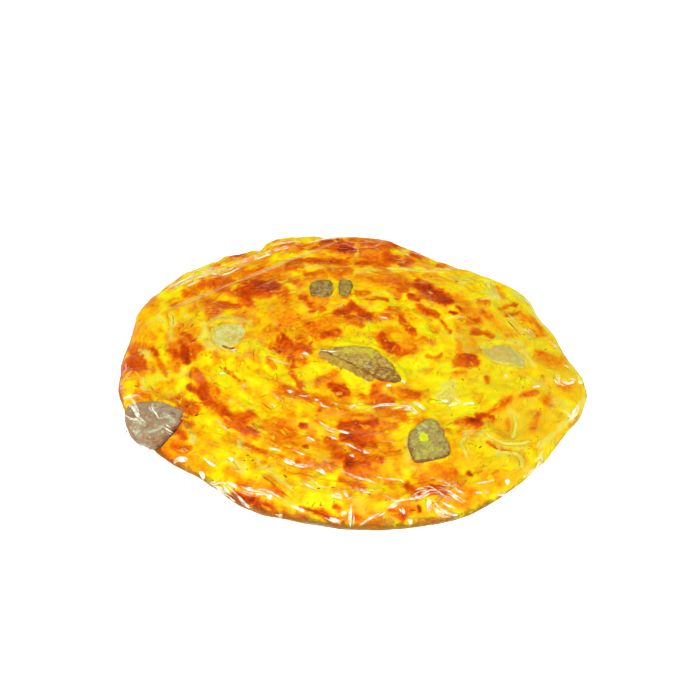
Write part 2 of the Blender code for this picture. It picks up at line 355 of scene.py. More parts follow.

# Pale places, where fat and juice have soaked the dough, and along some rims a painted sheen of the film,
# written the same way
PALE = (
    # Back
    (((158, 316), (162, 322)), 3, 0.8),
    (((171, 312), (173, 325)), 2.5, 0.9),
    (((183, 315), (195, 320)), 2.2, 0.7),
    (((170, 328), (172, 338)), 4, 0.6),
    (((284, 274), (298, 274)), 3, 0.4),
    (((306, 267), (320, 267)), 2.5, 0.55),
    (((354, 272), (378, 270), (428, 270), (448, 271)), 2, 0.6),
    (((355, 244), (355, 256)), 2.2, 0.8),
    (((300, 290), (305, 306)), 4, 0.5),
    (((268, 300), (275, 325)), 4, 0.5),
    (((455, 278), (462, 285)), 3, 0.7),
    (((486, 282), (490, 297)), 2, 0.9),
    (((492, 284), (497, 298)), 2, 0.85),
    # Right
    (((510, 318), (520, 330)), 6, 0.6),
    (((525, 330), (530, 335)), 5, 0.6),
    (((498, 335), (502, 336)), 5, 0.6),
    (((458, 335), (462, 340)), 4, 0.6),
    (((530, 378), (540, 384)), 7, 0.6),
    (((555, 402), (572, 412)), 7, 0.65),
    (((509, 411), (514, 415)), 4, 0.7),
    (((446, 386), (453, 384)), 5, 0.9),
    (((438, 396), (448, 398)), 5, 0.85),
    (((444, 391), (455, 394)), 4, 0.7),
    (((465, 434), (480, 434), (492, 441)), 3, 0.7),
    (((498, 444), (520, 446)), 4, 0.6),
    (((500, 452), (508, 456)), 5, 0.75),
    (((515, 464), (530, 468)), 5, 0.5),
    # Left
    (((145, 352), (149, 358)), 3.2, 0.85),
    (((143, 381), (143, 390)), 3, 0.65),
    (((146, 375), (156, 379)), 3, 0.5),
    (((182, 370), (185, 371)), 3, 0.6),
    (((200, 336), (204, 342)), 3, 0.6),
    (((229, 401), (231, 402)), 3, 0.8),
    (((238, 405), (252, 408)), 3, 0.6),
    (((207, 335), (214, 350), (228, 354)), 4, 0.6),
    # Rims
    (((522, 352), (534, 365)), 5, 0.7),
    (((480, 344), (488, 352)), 4, 0.8),
    (((508, 340), (520, 345)), 3, 0.75),
    (((203, 324), (208, 340)), 3.5, 0.75),
    (((212, 319), (236, 318), (249, 323)), 3.5, 0.75),
    (((205, 346), (224, 352)), 3.5, 0.75),
    # These last four strokes, along the back right, right and front left rims, are partly pale dough and
    # partly painted sheen of the film where it stands off the rim.
    (((520, 290), (531, 302), (539, 314), (552, 332)), 4, 1.2),
    (((556, 340), (574, 362), (585, 386)), 3, 1.0),
    (((584, 400), (571, 416), (556, 431), (540, 446)), 3, 0.85),
    (((205, 482), (226, 494)), 4, 0.5),
    # Front
    (((230, 458), (241, 467)), 6, 0.8),
    (((238, 438), (242, 448)), 6, 0.5),
    (((191, 434), (193, 440)), 3, 0.7),
    (((258, 463), (276, 477), (290, 488)), 3.5, 0.85),
    (((224, 485), (232, 491)), 4, 0.6),
    (((284, 500), (300, 508)), 4, 0.6),
    (((300, 482), (325, 494)), 7, 0.45),
    (((406, 440), (408, 462)), 4, 0.75),
    (((412, 466), (416, 470)), 4, 0.7),
    (((352, 500), (360, 510)), 5, 0.55),
    (((386, 516), (394, 518)), 4, 0.55),
)

# Wide golden-orange clouds round the toasted patches, written the same way
WARM = (
    (((282, 247), (292, 247)), 3, 0.6),
    (((270, 250), (300, 251)), 4, 0.7),
    (((302, 247), (345, 249)), 4, 0.85),
    (((352, 240), (392, 245)), 4, 0.78),
    (((139, 300), (150, 296)), 4, 0.7),
    (((228, 290), (244, 300)), 4, 0.75),
    (((238, 284), (252, 281)), 3, 0.65),
    (((170, 318), (177, 334)), 4, 0.55),
    (((206, 340), (210, 345)), 4, 0.55),
    (((196, 390), (210, 393)), 4, 0.6),
    (((262, 276), (284, 279)), 3, 0.7),
    (((336, 276), (342, 280)), 3, 0.7),
    (((344, 298), (348, 296)), 3, 0.75),
    (((286, 424), (292, 432)), 6, 0.65),
    (((228, 470), (236, 474)), 5, 0.65),
    (((387, 425), (396, 428)), 4, 0.65),
    (((391, 458), (400, 474)), 3, 0.55),
    (((172, 452), (206, 466)), 4, 0.5),
    (((232, 256), (240, 252)), 3, 0.9),
    (((392, 241), (402, 246)), 3, 0.85),
    (((520, 412), (530, 440)), 8, 0.4),
    (((548, 408), (556, 424)), 6, 0.42),
    (((482, 384), (486, 388)), 3, 0.5),
    (((441, 374), (450, 376)), 3, 0.5),
    (((378, 318), (394, 316)), 4, 0.62),
    (((306, 280), (314, 279)), 3, 0.6),
    (((422, 296), (434, 297)), 4, 0.7),
    (((382, 282), (390, 284)), 3, 0.6),
    (((322, 512), (334, 521)), 4, 0.85),
    (((352, 514), (360, 519)), 4, 0.75),
    (((234, 494), (244, 499)), 4, 0.95),
    (((480, 474), (500, 482)), 5, 0.6),
    (((448, 495), (460, 490)), 4, 0.7),
    (((455, 322), (460, 350)), 3, 0.6),
    (((500, 312), (524, 318)), 4, 0.5),
    (((563, 372), (577, 396)), 7, 0.5),
    (((400, 506), (410, 508)), 4, 0.7),
    (((352, 252), (372, 258), (384, 268)), 6, 0.75),
    (((212, 266), (240, 257)), 4, 0.7),
    (((214, 288), (224, 290)), 4, 0.75),
    (((246, 292), (266, 294)), 5, 0.95),
    (((282, 298), (286, 306)), 4, 0.6),
    (((238, 316), (256, 321)), 6, 0.72),
    (((170, 336), (174, 360)), 4, 0.6),
    (((200, 378), (201, 386)), 4, 0.8),
    (((180, 408), (194, 412)), 4, 0.8),
    (((238, 440), (248, 446)), 5, 0.6),
    (((280, 424), (292, 450)), 6, 0.65),
    (((270, 456), (282, 458)), 4, 0.6),
    (((354, 460), (366, 464)), 5, 0.8),
    (((304, 413), (320, 410)), 4, 0.7),
    (((340, 408), (344, 414)), 4, 0.7),
    (((402, 397), (425, 399)), 4, 0.65),
    (((370, 402), (380, 402)), 4, 0.6),
    (((366, 374), (386, 372)), 4, 0.5),
    (((398, 356), (404, 353)), 4, 0.75),
    (((430, 294), (444, 302)), 5, 0.85),
    (((470, 310), (484, 314)), 6, 0.6),
    (((506, 334), (516, 332)), 5, 0.6),
    (((528, 332), (538, 334)), 4, 0.6),
    (((546, 356), (552, 364)), 5, 0.6),
    (((484, 416), (492, 419)), 4, 0.8),
    (((464, 430), (474, 432)), 4, 0.6),
    (((505, 400), (545, 400)), 6, 0.45),
    (((530, 415), (545, 435), (525, 440)), 7, 0.45),
    (((486, 476), (510, 480), (530, 462)), 6, 0.45),
    (((456, 500), (466, 505)), 5, 0.6),
    (((166, 452), (174, 456)), 4, 0.6),
    (((236, 502), (246, 503)), 4, 0.9),
    (((272, 512), (290, 516), (306, 517)), 4, 0.75),
    (((340, 514), (350, 516)), 4, 0.6),
    (((368, 522), (384, 522)), 4, 0.6),
    (((336, 490), (346, 494)), 4, 0.6),
    (((318, 478), (326, 484)), 4, 0.5),
    (((150, 305), (140, 330), (130, 345)), 8, 0.5),
    (((125, 370), (122, 395)), 4, 0.55),
    (((160, 394), (178, 400)), 5, 0.6),
    # Beside the meat on the rim: painted shade.
    (((176, 421), (189, 425)), 5, 0.8),
    (((168, 362), (171, 367)), 3, 0.5),
    (((200, 300), (222, 306)), 7, 0.5),
    (((272, 318), (300, 322), (335, 330)), 12, 0.55),
    (((300, 294), (312, 301)), 6, 0.52),
    (((350, 285), (400, 279), (450, 300)), 7, 0.5),
    (((462, 312), (486, 314), (500, 328)), 6, 0.55),
    (((262, 388), (290, 398), (330, 402)), 8, 0.5),
    (((330, 414), (350, 416)), 6, 0.55),
    (((380, 412), (402, 414)), 6, 0.55),
    (((268, 426), (286, 440)), 9, 0.62),
    (((310, 430), (316, 446)), 5, 0.7),
    (((302, 472), (308, 478)), 5, 0.6),
    (((345, 504), (364, 510)), 6, 0.48),
    (((384, 474), (396, 486)), 6, 0.6),
    (((454, 492), (457, 504)), 4, 0.55),
    (((458, 432), (462, 435)), 4, 0.55),
    (((440, 374), (450, 376)), 4, 0.45),
    (((530, 430), (545, 415)), 6, 0.42),
    (((546, 378), (574, 394)), 7, 0.45),
    (((426, 275), (434, 276)), 3, 0.55),
    (((135, 346), (150, 348)), 4, 0.66),
    (((235, 316), (255, 323)), 6, 0.42),
    (((315, 300), (326, 301)), 4, 0.6),
    (((358, 276), (400, 276)), 4, 0.58),
    (((324, 273), (346, 268)), 4, 0.68),
    (((268, 271), (300, 268)), 4, 0.7),
    (((290, 279), (300, 284)), 4, 0.66),
    (((308, 444), (330, 450)), 9, 0.52),
    (((308, 461), (330, 466)), 6, 0.7),
    (((350, 471), (374, 473)), 6, 0.75),
    (((358, 430), (370, 433)), 5, 0.8),
    (((336, 492), (346, 496)), 5, 0.5),
    (((450, 444), (455, 456)), 6, 0.5),
    (((444, 338), (448, 350)), 5, 0.5),
    (((391, 292), (397, 297)), 4, 0.68),
    (((482, 480), (488, 488)), 5, 0.55),
    (((280, 508), (288, 514)), 4, 0.55),
    (((176, 460), (200, 471)), 5, 0.6),
    (((198, 438), (212, 446)), 8, 0.5),
    (((242, 384), (248, 392)), 5, 0.5),
    (((258, 398), (266, 408)), 5, 0.5),
    (((284, 290), (288, 299)), 4, 0.72),
    (((244, 276), (262, 271)), 5, 0.78),
    (((248, 312), (254, 322)), 5, 0.5),
    (((375, 425), (388, 440), (386, 462)), 9, 0.52),
    (((374, 498), (416, 497)), 4, 0.6),
    (((500, 409), (560, 420)), 7, 0.42),
    (((444, 463), (500, 464)), 5, 0.4),
    (((420, 470), (450, 478), (470, 490)), 10, 0.58),
    (((370, 512), (400, 508), (440, 512)), 7, 0.5),
    (((520, 350), (560, 365)), 9, 0.5),
    (((525, 390), (555, 400)), 6, 0.45),
    (((480, 425), (515, 425)), 8, 0.45),
    (((215, 410), (240, 422)), 7, 0.5),
    (((216, 424), (236, 428)), 4, 0.6),
    (((183, 325), (190, 345)), 8, 0.5),
    (((236, 257), (262, 262)), 6, 0.55),
    (((340, 250), (385, 250)), 7, 0.6),
    (((240, 272), (200, 285)), 7, 0.6),
    (((370, 255), (430, 262), (460, 272)), 5, 0.5),
    (((180, 440), (165, 450)), 5, 0.6),
    (((240, 480), (270, 490)), 6, 0.5),
    (((280, 385), (298, 350), (275, 340)), 7, 0.55),
    (((380, 330), (415, 345), (385, 350)), 8, 0.5),
)

# Places that are hardly baked and stay a clear yellow, written the same way
FRESH = (
    (((133, 340), (146, 342)), 4, 0.3),
    (((203, 263), (225, 258)), 4, 1.5),
    (((264, 246), (268, 241)), 4, 1.5),
    (((434, 262), (446, 266)), 3, 1.3),
    (((186, 400), (216, 404)), 4, 1.3),
    (((382, 452), (390, 460)), 4, 0.6),
    (((418, 288), (412, 290)), 3, 1.0),
    (((412, 314), (418, 316)), 3, 1.2),
    (((456, 308), (464, 300)), 4, 1.0),
    (((196, 280), (210, 283)), 4, 1.3),
    (((165, 296), (188, 290)), 5, 1.0),
    (((206, 314), (216, 322)), 5, 1.0),
    (((262, 318), (272, 332)), 6, 0.9),
    (((262, 352), (276, 362)), 6, 1.3),
    (((258, 378), (268, 388)), 6, 1.2),
    (((281, 372), (288, 382)), 5, 1.3),
    (((292, 388), (312, 410)), 5, 1.7),
    (((236, 406), (252, 411)), 6, 1.5),
    (((212, 420), (220, 424)), 5, 1.2),
    (((190, 366), (196, 374)), 5, 1.3),
    (((222, 352), (232, 356)), 5, 1.3),
    (((350, 302), (358, 306)), 4, 1.2),
    (((404, 330), (446, 338)), 5, 1.0),
    (((428, 367), (460, 369)), 4, 1.1),
    (((482, 386), (490, 398)), 6, 1.0),
    (((438, 402), (454, 420)), 7, 1.5),
    (((530, 350), (545, 352)), 4, 1.0),
    (((532, 456), (540, 460)), 5, 1.0),
    (((422, 468), (432, 476)), 5, 1.2),
    (((314, 456), (320, 458)), 4, 1.3),
    (((325, 478), (336, 480)), 5, 1.2),
    (((400, 486), (408, 488)), 4, 1.2),
    (((245, 476), (272, 470)), 5, 1.0),
    (((282, 491), (288, 494)), 4, 1.2),
    (((300, 506), (308, 509)), 4, 1.2),
    (((532, 312), (548, 332)), 3, 1.5),
    (((178, 321), (184, 325)), 5, 0.9),
    (((188, 331), (200, 327)), 6, 0.9),
    (((198, 300), (202, 304)), 5, 0.6),
    (((180, 286), (206, 278), (228, 272)), 5, 0.6),
    (((264, 356), (274, 360)), 6, 0.8),
    (((226, 370), (236, 376)), 5, 0.8),
    (((280, 254), (310, 255)), 5, 0.6),
    (((284, 374), (300, 384), (294, 408)), 6, 0.6),
    (((308, 306), (326, 311)), 4, 0.6),
    (((364, 306), (372, 311)), 5, 0.8),
    (((366, 331), (380, 329)), 6, 0.9),
    (((392, 338), (398, 345)), 4, 0.7),
    (((388, 293), (391, 302)), 4, 0.8),
    (((354, 288), (362, 288)), 5, 0.7),
    (((388, 406), (397, 409)), 5, 1.0),
    (((355, 392), (362, 411), (376, 416)), 5, 0.6),
    (((306, 426), (314, 433), (330, 438)), 6, 0.6),
    (((393, 440), (403, 462)), 6, 0.6),
    (((430, 465), (438, 460)), 5, 0.8),
    (((374, 473), (382, 472)), 4, 0.8),
    (((398, 486), (408, 485)), 5, 0.8),
    (((380, 509), (392, 505)), 5, 0.9),
    (((236, 480), (246, 462)), 6, 0.5),
    (((466, 476), (474, 482)), 6, 0.8),
    (((440, 398), (452, 418)), 7, 0.6),
    (((526, 352), (534, 353)), 6, 0.7),
    (((416, 346), (430, 340)), 6, 0.6),
    (((394, 254), (400, 257)), 4, 0.8),
    (((436, 264), (460, 278)), 5, 0.5),
    (((350, 352), (380, 358)), 4, 0.5),
    (((155, 366), (160, 376)), 5, 0.7),
    (((125, 384), (150, 386)), 6, 0.6),
    (((165, 392), (190, 384)), 6, 0.8),
    (((222, 386), (236, 398)), 8, 0.8),
    (((255, 376), (275, 372)), 8, 0.6),
    (((222, 452), (230, 466)), 8, 0.6),
    (((320, 364), (337, 368)), 6, 1.0),
    (((344, 372), (362, 390)), 8, 1.0),
    (((290, 399), (306, 408)), 6, 0.9),
    (((308, 489), (340, 498)), 8, 0.8),
    (((408, 360), (424, 364), (440, 350)), 8, 0.9),
    (((428, 368), (446, 376)), 6, 0.8),
    (((440, 408), (472, 408)), 6, 1.0),
    (((312, 452), (326, 456)), 5, 0.8),
    (((196, 330), (204, 346)), 6, 0.8),
    (((200, 360), (216, 366)), 7, 0.9),
    (((228, 312), (238, 316)), 6, 0.8),
    (((263, 348), (272, 356)), 6, 0.9),
    (((370, 326), (374, 332)), 6, 1.0),
    (((380, 354), (396, 362)), 6, 1.0),
    (((396, 382), (416, 382)), 5, 0.9),
    (((424, 396), (432, 406)), 6, 1.0),
    (((440, 412), (448, 420)), 6, 1.0),
    (((394, 438), (400, 450)), 5, 0.8),
    (((408, 468), (434, 468)), 6, 0.9),
    (((424, 503), (430, 514)), 5, 0.9),
    (((468, 440), (474, 450)), 6, 0.8),
    (((508, 378), (522, 382)), 8, 1.0),
    (((470, 362), (490, 370)), 7, 0.7),
    (((450, 310), (454, 332)), 5, 0.8),
    (((342, 328), (346, 332)), 5, 0.8),
    (((238, 398), (250, 408)), 7, 1.0),
    (((188, 366), (192, 371)), 5, 1.0),
    (((196, 322), (204, 334)), 5, 0.8),
    (((256, 300), (265, 311)), 5, 0.8),
    (((146, 316), (150, 320)), 4, 0.7),
    (((158, 342), (162, 362)), 4, 0.8),
    (((366, 408), (374, 412)), 4, 0.6),
    (((266, 448), (272, 453)), 5, 0.7),
    (((232, 430), (256, 442)), 6, 0.7),
    (((216, 478), (224, 486)), 5, 0.8),
    (((286, 372), (290, 378)), 4, 0.6),
    (((300, 304), (306, 312)), 5, 0.5),
    (((400, 340), (404, 343)), 5, 0.5),
    (((250, 318), (262, 344)), 8, 0.7),
    (((382, 466), (392, 474)), 5, 0.6),
    (((422, 318), (430, 336)), 5, 0.4),
    (((340, 285), (354, 287)), 4, 0.4),
    (((340, 342), (372, 340)), 4, 0.8),
)

# Where the back rim's flaky layers and the film over them bulge out, in millimetres,
# written the same way
BULGES = (
    (((229, 258), (250, 253)), 7, 2.4),
    (((270, 245), (290, 243)), 7, 2.2),
    (((300, 242), (395, 242)), 8, 0.9),
    (((140, 312), (150, 300)), 7, 1.2),
    (((121, 370), (120, 395)), 8, 0.8),
    (((445, 266), (485, 278)), 7, 1.0),
)

# How far the crust stays below the top of a sunk piece at its edge, in millimetres, and how
# raggedly it laps over it
LIPS = (("meat", 0.9, 0.8), ("fat", 0.35, 2.4), ("onion", 0.3, 2.0))

# Places of the crust next to the meat where its shreds and juice lie, and one patch of painted shade
# beside the meat on the rim, written the same way
JUICE = (
    (((324, 354), (333, 360), (348, 365)), 5.5, 1.0),
    (((346, 366), (358, 371), (370, 377)), 4, 1.0),
    # Beside the meat on the rim: painted shade in the colour of the meat.
    (((186, 424), (194, 440)), 3, 0.5),
    (((452, 416), (446, 410)), 1.5, 0.4),
)

# Creases of the film, with their glints painted on as whitish strips: places in the photograph's pixels,
# half width, and how white they show
CREASES_AND_GLINTS = (
    # Left rim
    (((130, 404), (134, 410), (138, 417)), 1.3, 0.9),
    (((133, 410), (139, 418), (146, 422)), 1.4, 0.7),
    (((150, 404), (153, 410), (156, 414), (159, 420)), 1.0, 0.95),
    (((160, 424), (168, 430), (176, 434)), 0.8, 0.7),
    (((165, 416), (170, 415)), 1.0, 0.8),
    (((124, 400), (130, 397), (137, 396), (142, 400)), 1.6, 0.6),
    (((121, 408), (124, 414)), 1.4, 0.7),
    (((127, 402), (131, 408)), 1.0, 0.6),
    # Front left
    (((173, 462), (178, 459), (184, 459), (188, 460)), 2.4, 1.0),
    (((205, 459), (210, 463), (216, 466)), 1.2, 0.95),
    (((199, 470), (202, 475), (205, 480)), 2.2, 1.0),
    (((205, 480), (212, 487), (220, 492), (227, 497)), 2.4, 0.6),
    (((213, 484), (220, 489), (229, 494)), 1.0, 0.7),
    (((226, 481), (233, 485), (239, 488)), 1.4, 0.9),
    (((245, 488), (253, 489)), 2.0, 1.0),
    (((238, 489), (250, 493), (262, 494), (268, 497)), 1.0, 0.65),
    (((267, 494), (272, 499)), 2.2, 0.9),
    (((238, 499), (250, 508)), 0.9, 0.6),
    (((228, 457), (233, 461)), 1.6, 0.8),
    (((215, 421), (228, 430), (238, 437)), 1.0, 0.4),
    # Rim net
    (((207, 482), (214, 484), (222, 482), (228, 486)), 0.7, 0.8),
    (((209, 486), (218, 486), (226, 492)), 0.6, 0.8),
    (((212, 490), (219, 489), (225, 497)), 0.6, 0.7),
    (((216, 484), (221, 491), (230, 497)), 0.6, 0.8),
    (((221, 483), (226, 490), (236, 498)), 0.7, 0.8),
    (((224, 482), (233, 491), (245, 502), (252, 509)), 0.7, 0.7),
    (((228, 495), (232, 499), (236, 501)), 1.0, 0.8),
    (((239, 486), (251, 490), (262, 492), (270, 496)), 0.8, 0.8),
    (((254, 489), (264, 490), (276, 495), (288, 502)), 0.9, 0.6),
    (((122, 399), (128, 396), (136, 394)), 1.3, 0.9),
    (((129, 400), (132, 399), (137, 408), (140, 416)), 0.7, 0.9),
    (((122, 413), (128, 417), (137, 420), (146, 423)), 1.1, 0.7),
    (((290, 505), (300, 509), (305, 511)), 1.4, 0.8),
    (((322, 516), (331, 520), (340, 523)), 0.9, 0.8),
    (((386, 496), (394, 500), (404, 499), (412, 500)), 0.7, 0.6),
    (((410, 497), (420, 491), (434, 490), (446, 496), (462, 500)), 0.7, 0.7),
    (((436, 488), (446, 492), (458, 500), (464, 503)), 0.7, 0.7),
    (((433, 500), (440, 508), (452, 514), (460, 514)), 1.2, 0.7),
    (((440, 484), (450, 486), (464, 494)), 0.6, 0.6),
    (((428, 478), (444, 482), (458, 490), (468, 497)), 0.7, 0.5),
    (((415, 489), (428, 486), (440, 492)), 0.7, 0.6),
    (((533, 462), (540, 456), (543, 448)), 0.8, 0.6),
    (((524, 474), (534, 468), (540, 464)), 0.9, 0.6),
    (((563, 412), (570, 416), (574, 408), (580, 402)), 0.9, 0.8),
    (((566, 421), (571, 418), (576, 409)), 0.8, 0.7),
    (((555, 373), (558, 380), (562, 385), (574, 384)), 0.8, 0.8),
    # Left
    (((264, 356), (278, 361), (290, 364)), 1.0, 0.6),
    (((240, 398), (243, 386), (249, 381)), 1.0, 0.35),
    (((174, 398), (179, 402)), 0.8, 0.5),
    (((219, 373), (224, 373)), 1.2, 0.8),
    (((230, 350), (238, 349)), 0.9, 0.9),
    (((271, 392), (279, 399)), 0.8, 0.45),
    (((268, 402), (278, 408)), 0.9, 0.5),
    # Middle
    (((299, 353), (304, 353), (309, 355)), 1.4, 0.95),
    (((299, 353), (303, 359)), 0.8, 0.55),
    (((319, 350), (328, 351), (338, 351)), 1.3, 1.0),
    (((400, 380), (405, 382)), 1.4, 0.95),
    (((385, 385), (391, 385)), 1.3, 0.95),
    (((286, 390), (291, 391), (295, 394)), 1.1, 0.9),
    (((296, 394), (305, 396), (311, 394)), 0.9, 0.7),
    (((314, 399), (318, 400)), 1.3, 1.0),
    (((319, 403), (324, 406), (331, 408)), 1.1, 0.85),
    (((332, 402), (338, 405)), 1.0, 0.7),
    (((346, 407), (354, 405), (362, 403)), 1.0, 0.6),
    (((356, 409), (374, 409)), 1.0, 0.45),
    (((370, 407), (380, 405), (390, 404), (400, 404)), 2.0, 0.95),
    (((388, 410), (400, 407), (408, 409), (416, 411)), 0.9, 0.8),
    (((403, 402), (408, 406), (413, 412), (420, 417)), 1.7, 0.85),
    (((411, 400), (418, 406)), 1.0, 0.6),
    (((416, 402), (420, 406), (425, 410)), 2.2, 0.95),
    # Right
    (((440, 400), (449, 401)), 1.5, 0.95),
    (((452, 396), (457, 400), (463, 404)), 0.9, 0.75),
    (((464, 403), (475, 403)), 1.4, 1.0),
    (((447, 406), (452, 404), (459, 403)), 1.5, 0.9),
    (((503, 375), (508, 376)), 1.1, 0.85),
    (((531, 387), (541, 386)), 1.5, 0.8),
    (((552, 377), (556, 382), (560, 385)), 0.9, 0.7),
    (((560, 380), (566, 383), (572, 382), (575, 379)), 1.4, 0.95),
    (((567, 379), (575, 379)), 1.0, 0.8),
    (((577, 380), (582, 384)), 1.2, 0.8),
    (((564, 365), (569, 368)), 1.0, 0.7),
    (((578, 405), (573, 415), (567, 423)), 2.8, 0.7),
    (((541, 453), (541, 460), (537, 466), (533, 471)), 1.6, 0.75),
    (((548, 340), (556, 348), (562, 356)), 1.4, 0.5),
    (((443, 317), (458, 317), (472, 316)), 0.9, 0.5),
    # Back
    (((168, 291), (185, 281), (215, 272), (245, 262)), 5, 0.5),
    (((225, 268), (262, 255), (300, 245)), 4, 0.5),
    (((160, 294), (172, 286), (185, 279), (200, 273)), 1.0, 0.75),
    (((185, 287), (193, 283), (205, 278)), 1.0, 0.7),
    (((200, 273), (215, 268), (230, 262)), 0.9, 0.7),
    (((207, 279), (232, 271), (250, 262)), 1.0, 0.75),
    (((250, 262), (262, 257), (276, 252)), 1.0, 0.75),
    (((206, 270), (214, 274), (222, 270), (232, 268)), 0.8, 0.6),
    (((268, 246), (284, 243), (300, 241)), 1.1, 0.7),
    (((305, 243), (322, 239), (340, 237)), 1.2, 0.85),
    (((404, 254), (410, 256)), 1.1, 0.7),
    (((377, 316), (388, 318)), 0.9, 0.6),
    (((518, 291), (526, 299), (534, 314)), 2.2, 0.5),
    (((484, 297), (492, 299)), 1.0, 0.6),
    (((522, 328), (530, 333)), 1.0, 0.6),
    (((428, 271), (445, 273)), 0.8, 0.5),
    # Front
    (((317, 419), (321, 423), (328, 427), (338, 430)), 1.0, 0.8),
    (((338, 430), (344, 432), (351, 432)), 1.2, 0.9),
    (((306, 437), (310, 438), (315, 441)), 1.3, 0.9),
    (((328, 435), (332, 437), (337, 439)), 1.0, 0.85),
    (((268, 448), (274, 449), (281, 451)), 1.4, 0.9),
    (((294, 450), (300, 453), (305, 455)), 0.9, 0.8),
    (((283, 458), (287, 461), (294, 464)), 2.4, 1.0),
    (((292, 464), (304, 465), (313, 467)), 1.8, 0.65),
    (((315, 470), (320, 470), (326, 475)), 1.9, 0.9),
    (((342, 442), (348, 444), (355, 448), (362, 451)), 1.2, 0.8),
    (((362, 451), (370, 453)), 1.2, 0.85),
    (((349, 454), (354, 457)), 1.1, 0.8),
    (((324, 460), (328, 466), (333, 471)), 1.0, 0.5),
    (((301, 482), (307, 485), (315, 489)), 1.2, 0.85),
    (((304, 474), (312, 480), (320, 486), (340, 487)), 1.0, 0.5),
    (((328, 494), (336, 496), (343, 498)), 1.6, 0.9),
    (((342, 488), (346, 495), (352, 502)), 1.3, 0.65),
    (((345, 486), (355, 488), (368, 490), (381, 490)), 1.0, 0.55),
    (((340, 471), (352, 476), (368, 480), (383, 486)), 1.4, 0.6),
    (((370, 475), (384, 478), (400, 480), (404, 484)), 0.9, 0.5),
    (((351, 503), (350, 515), (350, 527)), 1.2, 0.85),
    (((341, 511), (345, 516)), 2.2, 0.85),
    (((278, 514), (282, 516)), 2.2, 0.9),
    (((328, 517), (335, 519), (342, 523)), 1.5, 0.8),
    (((358, 526), (366, 520), (375, 515), (382, 511)), 1.4, 0.7),
    (((384, 510), (393, 505), (404, 499)), 1.9, 0.75),
    (((404, 499), (415, 498), (428, 492)), 1.1, 0.75),
    (((402, 508), (404, 514)), 1.3, 0.85),
    (((409, 518), (411, 524)), 1.8, 0.85),
    (((380, 441), (388, 441), (396, 443)), 0.8, 0.45),
    # Front right
    (((428, 498), (429, 505), (430, 511)), 2.0, 0.9),
    (((414, 495), (418, 497)), 1.8, 0.9),
    (((419, 496), (424, 493), (432, 489)), 1.2, 0.7),
    (((440, 500), (447, 505), (456, 507)), 1.1, 0.7),
    (((446, 480), (455, 485), (463, 490)), 0.9, 0.4),
    (((441, 488), (452, 494), (464, 500)), 0.9, 0.5),
    (((432, 506), (438, 512), (447, 515), (462, 517)), 1.6, 0.7),
    (((457, 491), (462, 492)), 1.4, 0.8),
    (((468, 482), (478, 483), (488, 481), (497, 479)), 1.1, 0.6),
    (((505, 478), (508, 485)), 2.0, 0.9),
    (((473, 492), (481, 492), (489, 492)), 1.2, 0.55),
    (((496, 494), (506, 495)), 1.2, 0.6),
    (((521, 476), (530, 475)), 1.2, 0.6),
)


# The ends of the film's overlap, in the photograph's pixels
FOLD_START = (161, 312)
FOLD_END = (343, 238)


def display(red, green, blue):
    """The linear colour that shows as these 0 to 255 numbers under the stage's light."""
    def linear(level):
        level /= 255
        return (level / 12.92 if level <= 0.04045 else ((level + 0.055) / 1.055) ** 2.4) / LIGHT_LEVEL

    return linear(red), linear(green), linear(blue)


def smooth(low, high, values):
    """0 at low, 1 at high and a smooth ramp between, for whole arrays."""
    t = np.clip((values - low) / (high - low), 0, 1)
    return t * t * (3 - 2 * t)


def ripples(points, length, seed, octaves=1):
    """Smooth noise from about -1 to 1 at each point, with bumps about a length across."""
    start = Vector((seed * 7.31, seed * 3.17, seed * 5.73))
    places = np.asarray(points) / length
    return np.array([noise.fractal(Vector(place) + start, 1.0, 2.0, octaves) for place in places])


def tree_of(things):
    """A search tree over the faces of several meshes."""
    corners = []
    faces = []
    for thing in things:
        start = len(corners)
        corners.extend(vertex.co.copy() for vertex in thing.data.vertices)
        faces.extend([start + i for i in face.vertices] for face in thing.data.polygons)
    return BVHTree.FromPolygons(corners, faces)


BREAD_TREE = tree_of([frame["nodes"]["wrapped_bread"]])
FRAME_TREE = tree_of(frame["nodes"].values())


def place_on(tree, pixel):
    """The point of a surface that a pixel of the photograph shows, or the nearest inwards."""
    spot = Vector(pixel)
    for _ in range(60):
        sight = VIEW_UP * (MIDDLE_PIXEL - spot.y) - VIEW_BACK * FOCAL_PIXELS
        sight.x += spot.x - MIDDLE_PIXEL
        hit = tree.ray_cast(VIEW_FROM, sight.normalized())[0]
        if hit is not None:
            return hit
        spot += (BREAD_MIDDLE_PIXEL - spot).normalized() * 0.5
    raise ValueError(f"pixel {tuple(pixel)} lies too far from the bread")


def photo_space(points):
    """Where points lie in the photograph, in pixels, with their depth as a third, weaker number."""
    away = np.asarray(points) - np.array(VIEW_FROM)
    depth = -away @ np.array(VIEW_BACK)
    scale = FOCAL_PIXELS / depth
    across = MIDDLE_PIXEL + scale * away[:, 0]
    down = MIDDLE_PIXEL - scale * (away @ np.array(VIEW_UP))
    return np.stack((across, down, depth / PIXEL * DEPTH_WEIGHT), 1)


def distance_to_line(spots, line):
    """How far each spot lies from a line through several places."""
    nearest = np.full(len(spots), np.inf)
    for start, end in zip(line[:-1], line[1:]):
        side = end - start
        share = np.clip((spots - start) @ side / (side @ side + 1e-9), 0, 1)
        away = np.linalg.norm(spots - start - share[:, None] * side, axis=1)
        nearest = np.minimum(nearest, away)
    return nearest


def stroke_masks(spots, strokes, ragged):
    """For each stroke, how far it covers each spot, with ragged edges, and its strength."""
    for places, half_width, strength in strokes:
        line = photo_space([place_on(FRAME_TREE, place) for place in places])
        away = distance_to_line(spots, line) + ragged * (0.5 + 0.28 * half_width)
        yield smooth(1.5 * half_width + 1.2, 0.35 * half_width, away), strength


